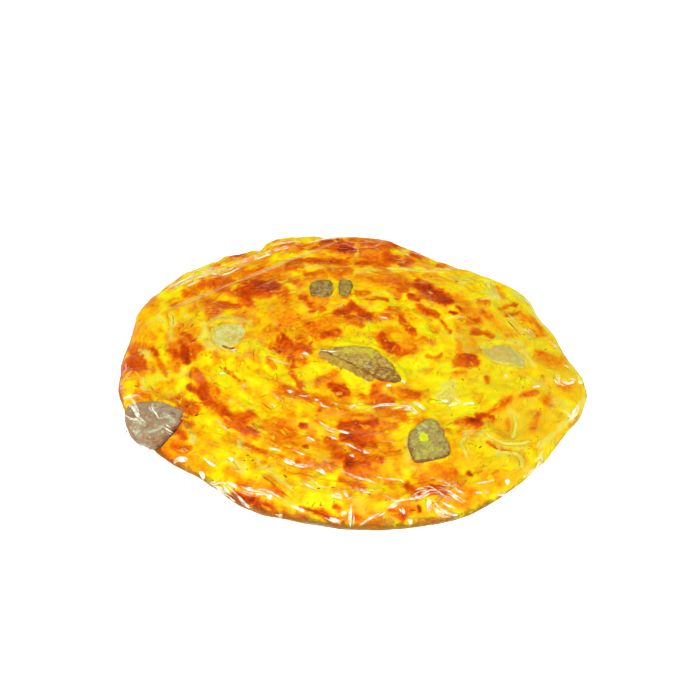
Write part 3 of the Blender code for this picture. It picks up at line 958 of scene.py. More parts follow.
def set_numbers(mesh, name, values):
    """Store one number for each vertex as an attribute that a material can read."""
    attribute = mesh.attributes.new(name, "FLOAT", "POINT")
    attribute.data.foreach_set("value", np.asarray(values, np.float32))


def set_vectors(mesh, name, values):
    """Store one vector for each vertex as an attribute that a material can read."""
    attribute = mesh.attributes.new(name, "FLOAT_VECTOR", "POINT")
    attribute.data.foreach_set("vector", np.asarray(values, np.float32).ravel())


def points_of(mesh):
    """The vertices of a mesh as an array."""
    flat = np.empty(len(mesh.vertices) * 3)
    mesh.vertices.foreach_get("co", flat)
    return flat.reshape(-1, 3)


def add_piece(name, form, material, nodes=()):
    """Turn a bmesh into a smooth piece that rides on the bread and stands for its nodes."""
    mesh = bpy.data.meshes.new(name)
    form.to_mesh(mesh)
    form.free()
    mesh.materials.clear()
    mesh.materials.append(material)
    mesh.shade_smooth()
    piece = bpy.data.objects.new(name, mesh)
    bpy.context.scene.collection.objects.link(piece)
    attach(piece, "root")
    if nodes:
        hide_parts(*nodes)
    return piece


def join_in(form, part):
    """Add a small shape to a larger one. Shaping it in there would be far slower."""
    mesh = bpy.data.meshes.new("part")
    part.to_mesh(mesh)
    part.free()
    form.from_mesh(mesh)
    bpy.data.meshes.remove(mesh)


class Value:
    """A shader socket that Python arithmetic extends with Math nodes."""

    def __init__(self, paint, socket):
        self.paint = paint
        self.socket = socket

    def math(self, operation, *values):
        """Add a Math node on values of which one is this one."""
        return self.paint.node("ShaderNodeMath", {"operation": operation}, dict(enumerate(values)))

    def __add__(self, other):
        return self.math("ADD", self, other)

    def __radd__(self, other):
        return self.math("ADD", other, self)

    def __sub__(self, other):
        return self.math("SUBTRACT", self, other)

    def __rsub__(self, other):
        return self.math("SUBTRACT", other, self)

    def __mul__(self, other):
        return self.math("MULTIPLY", self, other)

    def __rmul__(self, other):
        return self.math("MULTIPLY", other, self)

    def __abs__(self):
        return self.math("ABSOLUTE", self)

    def ramp(self, low, high):
        """0 at low, 1 at high and a smooth ramp between."""
        settings = {"interpolation_type": "SMOOTHSTEP"}
        return self.paint.node("ShaderNodeMapRange", settings, {0: self, 1: low, 2: high})


class Paint:
    """A material in the making. Its nodes come back as values, to work on in Python."""

    def __init__(self, name):
        self.material = bpy.data.materials.new(name)
        self.material.use_nodes = True
        self.tree = self.material.node_tree
        self.tree.nodes.clear()
        self.place = self.node("ShaderNodeTexCoord", out="Object")

    def node(self, kind, settings=None, sockets=None, out=0):
        """Add a node: first its settings, then the values or links of its sockets."""
        made = self.tree.nodes.new(kind)
        for name, value in (settings or {}).items():
            if name == "stops":
                self.set_stops(made.color_ramp, value)
            else:
                setattr(made, name, value)
        for key, value in (sockets or {}).items():
            if isinstance(value, Value):
                self.tree.links.new(value.socket, made.inputs[key])
            else:
                made.inputs[key].default_value = value
        return Value(self, made.outputs[out])

    @staticmethod
    def set_stops(ramp, stops):
        """Set a colour ramp's places and linear colours."""
        while len(ramp.elements) < len(stops):
            ramp.elements.new(1.0)
        for element, (place, colour) in zip(ramp.elements, stops):
            element.position = place
            element.color = (*colour, 1)

    def number(self, name):
        """A number that the mesh holds for each vertex."""
        return self.node("ShaderNodeAttribute", {"attribute_name": name}, out="Fac")

    def vector(self, name):
        """A vector that the mesh holds for each vertex."""
        return self.node("ShaderNodeAttribute", {"attribute_name": name}, out="Vector")

    def noise(self, length, detail=2.0, where=None, stretch=(1, 1, 1), turn=0.0, rough=0.5):
        """Noise from 0 to 1 whose bumps are about a length across, on the piece or a vector."""
        sockets = {"Vector": where or self.place, "Scale": stretch, "Rotation": (0, 0, turn)}
        vector = self.node("ShaderNodeMapping", {}, sockets)
        sockets = {"Vector": vector, "Scale": 1 / length, "Detail": detail, "Roughness": rough}
        return self.node("ShaderNodeTexNoise", {}, sockets)

    def mix(self, share, first, second):
        """A colour between two, by a share."""
        sockets = {0: share, 6: self.colour(first), 7: self.colour(second)}
        return self.node("ShaderNodeMix", {"data_type": "RGBA"}, sockets, out=2)

    @staticmethod
    def colour(value):
        """A colour with its fourth number, or a value as it is."""
        return value if isinstance(value, Value) else (*value[:3], 1)

    def bump(self, height, distance, strength=1.0):
        """A normal from a height from 0 to 1 that stands for a distance."""
        sockets = {"Strength": strength, "Distance": distance, "Height": height}
        return self.node("ShaderNodeBump", {}, sockets)

    def finish(self, shader):
        """Show a shader on the surface and give the material back."""
        made = self.tree.nodes.new("ShaderNodeOutputMaterial")
        self.tree.links.new(shader.socket, made.inputs["Surface"])
        return self.material

    def skin(self, **sockets):
        """Finish the material with one Principled shader."""
        named = {}
        for key, value in sockets.items():
            named[key.replace("_", " ").title().replace("Ior", "IOR")] = value
        return self.finish(self.node("ShaderNodeBsdfPrincipled", {}, named))


def round_skin(cuts):
    """A closed round skin, drawn flat: a disc of small quads for the top, and rings round it.

    Each point's distance from the middle says where it goes: 0 is the middle of the top, 1 is
    the rim, and 2 is the middle of the underside.
    """
    form = bmesh.new()
    bmesh.ops.create_grid(form, x_segments=cuts, y_segments=cuts, size=1.0)
    for vertex in form.verts:
        u, v, _ = vertex.co
        vertex.co = (u * math.sqrt(1 - v * v / 2), v * math.sqrt(1 - u * u / 2), 0)
    rim = [edge for edge in form.edges if edge.is_boundary]
    for share in UNDER_RINGS:
        made = bmesh.ops.extrude_edge_only(form, edges=rim)["geom"]
        rim = [part for part in made if isinstance(part, bmesh.types.BMEdge) and part.is_boundary]
        for vertex in {corner for edge in rim for corner in edge.verts}:
            vertex.co = vertex.co.normalized() * share
    last = list({corner for edge in rim for corner in edge.verts})
    bmesh.ops.pointmerge(form, verts=last, merge_co=Vector((2, 0, 0)))
    return form


def rim_reaches():
    """How far the rim of the frame lies from the middle, for evenly spread angles."""
    reaches = []
    for i in range(RIM_RAYS):
        angle = i / RIM_RAYS * math.tau
        outward = Vector((math.cos(angle), math.sin(angle), 0))
        start = outward * 2 * RAY_START + Vector((0, 0, ROLL_HEIGHT))
        hit = FRAME_TREE.ray_cast(start, -outward)[0]
        reaches.append(math.hypot(hit.x, hit.y))
    return np.array(reaches)


def ways_out(flat):
    """For points of a flat round skin, a foot inside the bread and the direction out to its skin."""
    share = np.hypot(flat[:, 0], flat[:, 1])
    angle = np.arctan2(flat[:, 1], flat[:, 0])
    angles = np.arange(RIM_RAYS) / RIM_RAYS * math.tau
    reach = np.interp(angle % math.tau, angles, rim_reaches(), period=math.tau)
    inner = SHOULDER * np.clip((2 - share) / (2 - FOOT), 0, 1)
    foot = np.where(share > FOOT, inner, np.minimum(share, SHOULDER)) * reach
    roll = np.clip((share - SHOULDER) / (FOOT - SHOULDER), 0, 1) * math.pi
    outward = np.stack((np.cos(angle), np.sin(angle), np.zeros_like(angle)), 1)
    feet = outward * foot[:, None]
    feet[:, 2] = ROLL_HEIGHT
    ways = outward * np.sin(roll)[:, None]
    ways[:, 2] = np.cos(roll)
    return feet, ways, reach, angle


def skin_distances(tree, feet, ways):
    """How far out a surface lies from each foot, or -1 where it doesn't reach there."""
    distances = []
    for foot, way in zip(feet, ways):
        foot = Vector(foot)
        way = Vector(way)
        hit = tree.ray_cast(foot + way * RAY_START, -way, RAY_START)[0]
        distances.append((hit - foot).length if hit is not None else -1.0)
    return np.array(distances)


def evened(values, rounds):
    """Values on the square of the top's grid, each averaged with its neighbours many times."""
    side = int(round(math.sqrt(len(values))))
    sheet = values.reshape(side, side)
    for _ in range(rounds):
        wide = np.pad(sheet, 1, mode="edge")
        rows = wide[1:-1, 1:-1] * 2 + wide[:-2, 1:-1] + wide[2:, 1:-1]
        sheet = (rows + wide[1:-1, :-2] + wide[1:-1, 2:]) / 6
    return sheet.ravel()


def coil_space(points):
    """Places in which noise is drawn out along the coil of dough: near all the way round."""
    angle = np.arctan2(points[:, 1], points[:, 0])
    out = np.hypot(points[:, 0], points[:, 1])
    around = 25 * MM
    return np.stack((out, around * np.cos(angle), around * np.sin(angle)), 1)


def paint_crust(points):
    """How far each point of the crust is baked, how pale it is and how green, all about 0 to 1,
    with the two kinds of noise that its relief shares."""
    flat = points * (1, 1, 0.5)
    bends = np.stack((ripples(flat, 5 * MM, 16, 2), ripples(flat, 5 * MM, 17, 2), 0 * flat[:, 0]), 1)
    spots = photo_space(points) + 1.7 * bends
    ragged = ripples(flat, 9 * MM, 1, 3)
    fine = ripples(flat, 2.2 * MM, 2, 2)
    streaks = ripples(coil_space(points), 4 * MM, 3, 3)
    clouds = ripples(flat, 26 * MM, 4, 2)
    right = smooth(0.035, 0.10, points[:, 0])
    baked = 0.195 - 0.10 * right + 0.26 * smooth(-0.3, 0.5, ragged) + 0.12 * clouds + 0.10 * streaks
    torn = 1.8 * ragged + 0.9 * fine
    for mask, strength in stroke_masks(spots, WARM, torn):
        baked = np.maximum(baked, baked + (strength + 0.12 * ragged - baked) * mask * 0.9)
    fresh = np.zeros(len(points))
    for mask, strength in stroke_masks(spots, FRESH, torn):
        fresh = np.maximum(fresh, mask * strength)
    baked -= 0.20 * fresh
    marks = baked.copy()
    for mask, strength in stroke_masks(spots, TOASTED, torn):
        level = strength + 0.10 * fine + 0.08 * streaks
        marks = np.maximum(marks, baked + (level - baked) * mask)
    pale = np.zeros(len(points))
    for mask, strength in stroke_masks(spots, PALE, torn):
        pale = np.maximum(pale, mask * strength)
    green = right * smooth(-0.9, 0.2, ripples(flat, 18 * MM, 6, 2))
    return marks, pale * smooth(1.0, 0.6, marks), green * smooth(0.75, 0.4, marks), streaks, fine


def crust_distances(settings, flat, feet, ways):
    """How far out the crust lies from each foot: on the solid, smooth, raised in a lip round each
    piece of filling and sunk under its middle."""
    bread = skin_distances(BREAD_TREE, feet, ways)
    ragged = ripples(feet, 4 * MM, 14, 2) + 0.6 * ripples(feet, 1.6 * MM, 15)
    top = (settings.cuts + 1) ** 2
    lip = np.zeros(len(feet))
    inside = np.zeros(top)
    for kind, drop, torn in LIPS:
        tree = tree_of([thing for name, thing in frame["nodes"].items() if name.startswith(kind)])
        over = skin_distances(tree, feet, ways)
        stands = np.maximum(over - drop * MM * (1 + torn * ragged), bread) - bread
        covered = (over - bread > 0.3 * MM).astype(float)
        lip = np.maximum(lip, stands * covered)
        inside = np.maximum(inside, smooth(0.5, 0.8, evened(covered[:top], 8)))
    lip *= smooth(SHOULDER, SHOULDER - 0.04, np.hypot(flat[:, 0], flat[:, 1]))
    raised = lip.copy()
    for _ in range(settings.creeping):
        raised[:top] = np.maximum(evened(raised[:top], 1), lip[:top])
    distances = bread + raised
    distances[:top] = evened(distances[:top], settings.evening) - FILLING_DEPTH * inside
    spots = photo_space(feet + ways * distances[:, None])
    for mask, height in stroke_masks(spots, BULGES, 0.0):
        distances += mask * height * MM
    return distances


def crust_relief(settings, points, reach, angle, baked, streaks, fine):
    """The height of the crust's flaky layers, blisters, seam of the coil and shreds of meat."""
    share = np.hypot(points[:, 0], points[:, 1]) / reach
    plates = ripples(coil_space(points), 6 * MM, 11, 2)
    steps = sum(smooth(low, high, plates) for low, high in LAYERS)
    blisters = smooth(0.6, 1.0, baked) * (0.5 + ripples(points, 4 * MM, 12, 2))
    turn = share / ROPE_WIDTH - angle / math.tau + ROPE_START
    seam = np.abs(turn - np.round(turn)) * ROPE_WIDTH * reach
    groove = smooth(1.8 * MM, 0.0, seam) * smooth(-0.2, 0.3, ripples(points, 15 * MM, 13))
    groove *= smooth(0.1, 0.2, share)
    relief = settings.flake_height * (steps - 1.5)
    relief += settings.blister_height * blisters
    relief -= settings.seam_depth * groove
    relief += 0.10 * MM * fine + 0.25 * MM * streaks
    relief += spot_mask(points, JUICE) * (0.8 + 0.5 * fine) * MM
    return relief


def make_crust(settings):
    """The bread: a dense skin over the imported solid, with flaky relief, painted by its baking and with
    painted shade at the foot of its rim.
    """
    form = round_skin(settings.cuts)
    flat = np.array([vertex.co for vertex in form.verts])
    feet, ways, reach, angle = ways_out(flat)
    distances = crust_distances(settings, flat, feet, ways)
    points = feet + ways * distances[:, None]
    baked, pale, green, streaks, fine = paint_crust(points)
    share = np.hypot(flat[:, 0], flat[:, 1])
    # Darker towards the foot of the rim: partly the browned bottom crust, partly painted shade where the
    # rim meets the floor.
    under = smooth(0.965, 1.01, share) * (1 - 0.6 * green)

    relief = crust_relief(settings, points, reach, angle, baked, streaks, fine)
    distances += relief * smooth(FOOT, SHOULDER, share) + settings.standing
    points = feet + ways * distances[:, None]
    points[:, 2] = np.maximum(points[:, 2], LEAST_HEIGHT)
    for vertex, point in zip(form.verts, points):
        vertex.co = point
    bmesh.ops.recalc_face_normals(form, faces=form.faces)
    piece = add_piece("bread_crust", form, crust_material(settings), ["wrapped_bread"])
    set_numbers(piece.data, "baked", baked)
    set_numbers(piece.data, "pale", pale)
    set_numbers(piece.data, "green", green)
    set_numbers(piece.data, "juice", spot_mask(points, JUICE))
    set_numbers(piece.data, "under", under)
    set_vectors(piece.data, "coil", coil_space(points))


def crust_colour(paint, settings):
    """The colour of unevenly baked dough by the crust's paint, and its height."""
    coil = paint.vector("coil")
    mottle = paint.noise(2.2 * MM, 4.0, rough=0.62) - 0.5
    patches = paint.noise(6 * MM, 5.0, rough=0.6) - 0.5
    specks = paint.noise(0.7 * MM, 2.0) - 0.5
    streaks = paint.noise(2.6 * MM, 4.0, where=coil, rough=0.62) - 0.5
    baked = paint.number("baked")
    uneven = 0.42 * mottle + 0.36 * patches + 0.40 * streaks + 0.2 * specks
    baked = baked + uneven * (0.6 + 0.8 * baked)
    most = BAKING[-1][0]
    stops = [(level / most, colour) for level, colour in BAKING]
    colour = paint.node("ShaderNodeValToRGB", {"stops": stops}, {0: baked * (1 / most)})
    green = paint.number("green") * (0.6 + 1.6 * mottle + 1.2 * patches).ramp(0.2, 0.9)
    colour = paint.mix(green * 0.8, colour, settings.green_colour)
    meaty = (paint.number("juice") + 1.2 * mottle).ramp(0.3, 0.6)
    shreds = flesh(paint, paint.place, MEAT_LOOKS["meat_middle"])[0]
    shreds = paint.mix((0.5 + 1.5 * patches).ramp(0.0, 1.0) * 0.6, shreds, MEAT_BROWN_AND_SHADE_COLOUR)
    colour = paint.mix(meaty * 0.9, colour, shreds)
    # Pale: soaked dough, and along some rims a painted sheen of the film.
    pale = (paint.number("pale") + 1.1 * mottle + 0.8 * streaks).ramp(0.3, 1.0)
    colour = paint.mix(pale * 0.8, colour, settings.pale_colour)
    # The lower rim's colour is partly the browned bottom crust and partly painted shade at the rim's
    # foot.
    under = (paint.number("under") + 0.9 * mottle + 0.9 * patches).ramp(0.2, 0.9)
    colour = paint.mix(under * 0.9, colour, settings.under_crust_and_shade_colour)
    dots = (paint.noise(2.6 * MM, 4.0) + 0.25 * specks).ramp(0.70, 0.76)
    colour = paint.mix(dots * 0.75, colour, settings.speck_colour)
    lines = paint.noise(9 * MM, 3.0, where=coil, stretch=(1, 1.4, 1.4))
    near = abs(lines - 0.5)
    crack = near.ramp(0.010, 0.0) * paint.noise(14 * MM, 2.0).ramp(0.54, 0.66)
    colour = paint.mix(crack * 0.5, colour, settings.speck_colour)
    height = paint.noise(0.9 * MM, 4.0) + 0.8 * streaks - 0.6 * crack
    return colour, height


def crust_material(settings):
    """Oiled, unevenly baked dough: yellow, golden, burnt orange and brown by how far it's baked."""
    paint = Paint("Baked crust")
    colour, height = crust_colour(paint, settings)
    return paint.skin(
        base_color=colour,
        roughness=0.6 - 0.1 * height,
        specular_ior_level=0.03,
        normal=paint.bump(height, 0.3 * MM, 0.9),
    )


# Display colours of the crust by how far it is baked
BAKING = (
    (0.00, display(253, 246, 14)),
    (0.15, display(254, 234, 4)),
    (0.30, display(255, 212, 2)),
    (0.42, display(252, 184, 3)),
    (0.55, display(247, 150, 2)),
    (0.68, display(236, 116, 1)),
    (0.82, display(220, 87, 1)),
    (0.95, display(201, 68, 2)),
    (1.12, display(172, 54, 4)),
    (1.30, display(140, 44, 8)),
    (1.50, display(98, 36, 12)),
)


def lay_lens(form, tree, draw, spot, way, size, lift):
    """Lay a thin ragged lens on a surface: its size is half its length, half its width and its
    thickness, and one long edge is lifted."""
    length, width, thickness = size
    part = bmesh.new()
    bmesh.ops.create_uvsphere(part, u_segments=12, v_segments=4, radius=1.0)
    start = Vector((draw.uniform(0, 50), draw.uniform(0, 50), 0))
    normal = tree.find_nearest(spot)[1]
    side = normal.cross(way).normalized()
    for vertex in part.verts:
        u, v, w = vertex.co
        wobble = 1 + 0.9 * noise.noise(Vector((u, v, 0)) * 1.6 + start)
        place = spot + (way * u * length + side * v * width) * wobble
        near, out, _, _ = tree.find_nearest(place)
        vertex.co = near + out * (w * thickness + lift * max(v, 0.0) ** 2)
    count = len(part.verts)
    join_in(form, part)
    return count


def bare_crust(draw, tree, filling):
    """A random place of the crust's top, clear of the meat and fat, and the way its coil runs."""
    while True:
        angle = draw.uniform(0, math.tau)
        out = Vector((math.cos(angle), math.sin(angle), 0))
        above = out * math.sqrt(draw.uniform(0.0, 1.0)) * TOP_REACH + Vector((0, 0, RAY_START))
        spot = tree.ray_cast(above, Vector((0, 0, -1)))[0]
        over = filling.ray_cast(above, Vector((0, 0, -1)))[0]
        if spot is not None and (over is None or over.z < spot.z - 1 * MM):
            turned = angle + math.pi / 2 + draw.gauss(0, 0.45)
            return spot, Vector((math.cos(turned), math.sin(turned), 0))


def make_flakes(settings):
    """The crust's lifted flakes, which take its colours, and the dark crumbs and cracks in it."""
    crust = bpy.data.objects["bread_crust"]
    tree = tree_of([crust])
    filling = tree_of([thing for name, thing in frame["nodes"].items() if name != "wrapped_bread"])
    draw = random.Random(settings.flake_seed)
    form = bmesh.new()
    changes = []
    for _ in range(settings.flakes):
        spot, way = bare_crust(draw, tree, filling)
        size = (draw.uniform(1.2, 4.2) * MM, draw.uniform(0.5, 1.6) * MM, FLAKE_THICKNESS)
        made = lay_lens(form, tree, draw, spot, way, size, draw.uniform(0.0, 0.12) * MM)
        changes += [(draw.uniform(-0.36, 0.18), draw.uniform(-0.3, 0.55))] * made
    piece = add_piece("crust_flakes", form, crust.data.materials[0], ["wrapped_bread"])
    copy_paint(crust, piece, np.array(changes))

    form = bmesh.new()
    for places, half_width in CRUMBS:
        line = [place_on(tree, place) for place in places]
        way = line[-1] - line[0] if len(line) > 1 else Vector((1, 0.3, 0)) * 0.5 * MM
        half_width = half_width * CRUMB_WIDTH * PIXEL
        size = (way.length / 2 + half_width, half_width, CRUMB_THICKNESS)
        lay_lens(form, tree, draw, (line[0] + line[-1]) / 2, way.normalized(), size, CRUMB_LIFT)
    for _ in range(settings.crumbs):
        spot, way = bare_crust(draw, tree, filling)
        width = draw.uniform(0.2, 0.42) * MM
        size = (width * draw.choice((1.0, 1.2, 1.5, 4.0)), width, CRUMB_THICKNESS)
        lay_lens(form, tree, draw, spot, way, size, CRUMB_LIFT)
    add_piece("dark_crumbs", form, crumb_material(), ["wrapped_bread"])


def copy_paint(source, piece, changes):
    """Give a piece the paint of the nearest places of another, a little changed."""
    finder = KDTree(len(source.data.vertices))
    for vertex in source.data.vertices:
        finder.insert(vertex.co, vertex.index)
    finder.balance()
    points = points_of(piece.data)
    nearest = [finder.find(point)[1] for point in points]
    for name in ("baked", "pale", "green", "juice", "under"):
        values = np.empty(len(source.data.vertices))
        source.data.attributes[name].data.foreach_get("value", values)
        values = values[nearest]
        if name == "baked":
            values = values + changes[:, 0] * (0.4 + 0.6 * np.clip(values, 0, 1))
        if name == "pale":
            values = np.clip(values + changes[:, 1], 0, 1)
        set_numbers(piece.data, name, values)
    set_vectors(piece.data, "coil", coil_space(points))


def crumb_material():
    """Burnt crumbs: dark brown, some of them greenish."""
    paint = Paint("Burnt crumbs")
    cloud = paint.noise(7 * MM, 1.0)
    fine = paint.noise(0.5 * MM, 2.0)
    colour = paint.mix(cloud.ramp(0.5, 0.62), display(150, 74, 8), display(124, 104, 18))
    colour = paint.mix(fine.ramp(0.5, 0.7) * 0.5, colour, display(196, 124, 12))
    return paint.skin(base_color=colour, roughness=0.7, specular_ior_level=0.05)


# Dark crumbs and thin cracks of the crust: places in the photograph's pixels, and half width
CRUMBS = (
    (((139, 320),), 0.9),
    (((145, 328),), 0.7),
    (((133, 363),), 0.9),
    (((134, 385), (138, 387)), 0.8),
    (((164, 375),), 1.0),
    (((168, 329),), 0.7),
    (((178, 298),), 0.7),
    (((196, 314),), 0.8),
    (((205, 292),), 0.8),
    (((214, 327),), 0.7),
    (((219, 366), (221, 368)), 0.9),
    (((201, 354),), 0.7),
    (((244, 312),), 1.1),
    (((273, 312),), 0.9),
    (((324, 323),), 0.8),
    (((314, 361),), 0.8),
    (((437, 372),), 0.9),
    (((461, 378), (463, 380)), 0.9),
    (((545, 349),), 1.3),
    (((515, 342),), 0.8),
    (((522, 323),), 0.8),
    (((247, 455),), 1.3),
    (((244, 460),), 1.2),
    (((252, 460),), 1.3),
    (((214, 457),), 0.7),
    (((214, 463),), 0.7),
    (((304, 448),), 1.3),
    (((284, 475), (286, 477)), 1.0),
    (((318, 488),), 1.0),
    (((320, 505),), 1.1),
    (((474, 281),), 1.0),
    (((480, 285),), 1.0),
    (((171, 314), (173, 324)), 0.8),
    (((507, 320), (516, 330)), 0.8),
    # These two dark lines lie in the left fat's fold: painted shade in the crease.
    (((222, 344), (229, 348)), 0.7),
    (((229, 348), (237, 352)), 0.6),
    (((253, 350), (254, 361)), 0.4),
    (((261, 402), (272, 410)), 0.5),
    (((259, 397), (267, 394)), 0.4),
    # Thin dark lines along the front rim's foot.
    (((302, 508), (316, 511)), 0.7),
    (((317, 512), (331, 519)), 0.6),
    (((487, 443), (498, 449)), 0.5),
    (((498, 449), (510, 451)), 0.4),
    (((185, 404), (188, 407)), 0.7),
    (((262, 476), (280, 490)), 0.4),
    (((280, 490), (290, 498)), 0.4),
    (((418, 505), (419, 510)), 1.3),
    (((469, 473), (471, 475)), 1.4),
    (((326, 462), (338, 466)), 0.4),
    (((222, 369), (231, 375)), 0.5),
    (((446, 425), (452, 422)), 0.5),
    (((392, 297), (397, 299)), 1.1),
)


def refined_copy(node, cuts, rounds):
    """A merged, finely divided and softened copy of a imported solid's mesh."""
    form = bmesh.new()
    form.from_mesh(frame["nodes"][node].data)
    bmesh.ops.remove_doubles(form, verts=form.verts, dist=0.01 * MM)
    bmesh.ops.subdivide_edges(form, edges=form.edges[:], cuts=cuts, use_grid_fill=True)
    axes = {"use_axis_x": True, "use_axis_y": True, "use_axis_z": True}
    for _ in range(rounds):
        bmesh.ops.smooth_vert(form, verts=form.verts, factor=0.5, **axes)
    form.normal_update()
    return form


def make_meat(settings):
    """The five chunks of meat, with torn fibres and rough cut sides."""
    for number, (node, look) in enumerate(MEAT_LOOKS.items()):
        form = refined_copy(node, 7, 8)
        points = np.array([vertex.co for vertex in form.verts])
        turned = turned_about_z(points, -look["grain"])
        fibres = ripples(turned * (0.22, 1, 1), 1.3 * MM, 20 + number, 3)
        lumps = ripples(points, 4.5 * MM, 30 + number, 2)
        torn = np.abs(ripples(turned * (0.35, 1, 1), 3.5 * MM, 40 + number, 2))
        raised = settings.fibre_height * fibres + settings.lump_height * lumps
        raised -= 0.5 * MM * smooth(0.15, 0.0, torn)
        raised += MM * spot_mask(points, look.get("bulge", ()))
        for vertex, height in zip(form.verts, raised):
            vertex.co += vertex.normal * height
        piece = add_piece(node + "_chunk", form, meat_material(node, look), [node])
        points = points_of(piece.data)
        set_numbers(piece.data, "edge", edge_shares(node, points, 3 * MM))
        for name in ("fat", "brown", "pale"):
            set_numbers(piece.data, name, spot_mask(points, look.get(name, ())))
        set_vectors(piece.data, "grain", turned_about_z(points, -look["grain"]))


def turned_about_z(points, angle):
    """Points turned about the upright axis."""
    x, y, z = points.T
    turned = (x * math.cos(angle) - y * math.sin(angle), x * math.sin(angle) + y * math.cos(angle), z)
    return np.stack(turned, 1)


def edge_shares(node, points, width):
    """How near each point lies to the outline of its solid seen from above: 0 in the middle."""
    low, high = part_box(node)
    tree = tree_of([frame["nodes"][node]])
    shares = []
    for point in points:
        nearest = 1.0
        spot = Vector((point[0], point[1], (low.z + high.z) / 2))
        for step in range(8):
            way = Vector((math.cos(step * math.tau / 8), math.sin(step * math.tau / 8), 0))
            hit = tree.ray_cast(spot, way)[3]
            nearest = min(nearest, hit if hit is not None else 0.0)
        shares.append(nearest)
    return smooth(width, 0.0, np.array(shares))


def spot_mask(points, strokes):
    """How far a set of strokes covers points, with soft ragged edges."""
    covered = np.zeros(len(points))
    if not strokes:
        return covered
    ragged = ripples(points, 3 * MM, 50, 2)
    for mask, strength in stroke_masks(photo_space(points), strokes, ragged):
        covered = np.maximum(covered, mask * strength)
    return covered


# The chunks of meat: the way their fibres run, their display colours, and the fatty and the browned
# places, as strokes in the photograph's pixels. Their edge colours and the browned strokes along lower
# edges are partly painted shade, and their pale strokes partly painted glints of the film.
MEAT_LOOKS = {
    "meat_back_left": {
        "grain": 0.3,
        "main": display(176, 152, 72),
        "second": display(158, 124, 56),
        "light": display(206, 192, 112),
        "edge": display(128, 86, 30),
        "brown": ((((309, 287), (316, 297)), 2, 0.6), (((322, 283), (330, 297)), 3, 0.35)),
    },
    "meat_back_right": {
        "grain": 1.2,
        "main": display(166, 136, 56),
        "second": display(180, 158, 70),
        "light": display(204, 190, 92),
        "edge": display(122, 82, 24),
    },
    "meat_middle": {
        "grain": -0.5,
        "main": display(206, 180, 76),
        "second": display(188, 148, 66),
        "light": display(226, 216, 110),
        "edge": display(150, 98, 30),
        "brown": (
            (((320, 353), (336, 361)), 4, 0.8),
            (((345, 363), (362, 369)), 3, 0.6),
            # These two strokes along the lower edge are partly browned meat and partly painted shade on
            # the side wall.
            (((372, 366), (386, 372), (398, 382)), 6, 0.75),
            (((364, 374), (384, 382), (398, 384)), 3.5, 1.3),
        ),
        "fat": ((((346, 350), (372, 350)), 3.5, 0.65), (((368, 350), (372, 356)), 2, 0.75)),
        # The pale strokes are painted glints of the film over the meat.
        "pale": ((((364, 366), (372, 366)), 1.2, 0.5), (((380, 370), (384, 372)), 1, 0.4)),
    },
    "meat_front": {
        "grain": 0.9,
        "main": display(178, 154, 88),
        "second": display(190, 182, 78),
        "light": display(208, 208, 118),
        "edge": display(152, 106, 66),
        "brown": (
            # The strokes along the left and lower edges are partly browned meat and partly painted shade.
            (((408, 440), (414, 462)), 1.8, 0.6),
            (((414, 462), (446, 456)), 1.5, 0.8),
            (((440, 444), (449, 452)), 3, 0.5),
        ),
        "fat": (
            (((422, 436), (424, 437)), 3.2, 1.8),
            (((418, 455), (430, 449), (440, 446)), 4, 0.5),
            (((414, 434), (416, 426)), 3, 0.35),
        ),
        "pale": (
            (((415, 425), (419, 429), (418, 433)), 0.9, 0.6),
            (((421, 424), (426, 427)), 1.0, 0.75),
            (((428, 430), (430, 434)), 0.8, 0.45),
            (((405, 436), (406, 450)), 1.5, 0.8),
        ),
    },
    "meat_rim": {
        "grain": 0.1,
        "main": display(180, 151, 116),
        "second": display(164, 139, 104),
        "light": display(208, 214, 172),
        "edge": display(168, 130, 98),
        "brown": ((((172, 432), (182, 424)), 2.5, 0.7), (((148, 426), (151, 440)), 4, 0.3)),
        "bulge": ((((124, 408), (126, 424), (136, 440)), 6, 1.9),),
        # The pale strokes are partly pale streaks of the meat and partly painted glints of the film.
        "pale": (
            (((133, 427), (139, 434)), 3, 0.6),
            (((144, 432), (154, 430), (162, 426)), 1.6, 0.7),
            (((125, 419), (134, 421), (144, 424)), 1.4, 0.7),
            (((164, 414), (169, 416), (172, 421)), 3, 0.6),
            (((136, 440), (146, 447)), 2.5, 0.5),
        ),
    },
}
MEAT_FAT_COLOUR = display(236, 242, 8)
MEAT_BROWN_AND_SHADE_COLOUR = display(140, 72, 26)
MEAT_PALE_AND_GLINT_COLOUR = display(212, 230, 186)


def flesh(paint, grain, look):
    """Mottled flesh with torn fibres both ways: its colour, fibres, patches and height."""
    fibres = paint.noise(1.4 * MM, 4.0, where=grain, stretch=(0.5, 1, 1), rough=0.6) - 0.5
    cross = paint.noise(1.7 * MM, 3.0, where=grain, stretch=(1, 0.5, 1), rough=0.6) - 0.5
    blotches = paint.noise(5 * MM, 4.0, rough=0.6) - 0.5
    patches = paint.noise(2.5 * MM, 3.0) - 0.5
    grains = paint.noise(0.7 * MM, 2.0) - 0.5
    tone = 0.5 + 2.2 * blotches + 1.4 * patches
    colour = paint.mix(tone.ramp(0.3, 0.7), look["main"], look["second"])
    warm = (0.5 + 2.4 * patches - 1.6 * blotches).ramp(0.55, 0.9)
    colour = paint.mix(warm * 0.55, colour, look["edge"])
    dark = (0.5 + 1.3 * fibres + 1.2 * cross + 1.0 * grains).ramp(0.6, 0.9)
    colour = paint.mix(dark * 0.7, colour, look["edge"])
    light = (0.5 - 1.2 * fibres - 1.1 * cross + 1.2 * grains).ramp(0.6, 0.85)
    colour = paint.mix(light * 0.65, colour, look["light"])
    return colour, fibres, patches, fibres + 0.8 * cross + 0.8 * grains


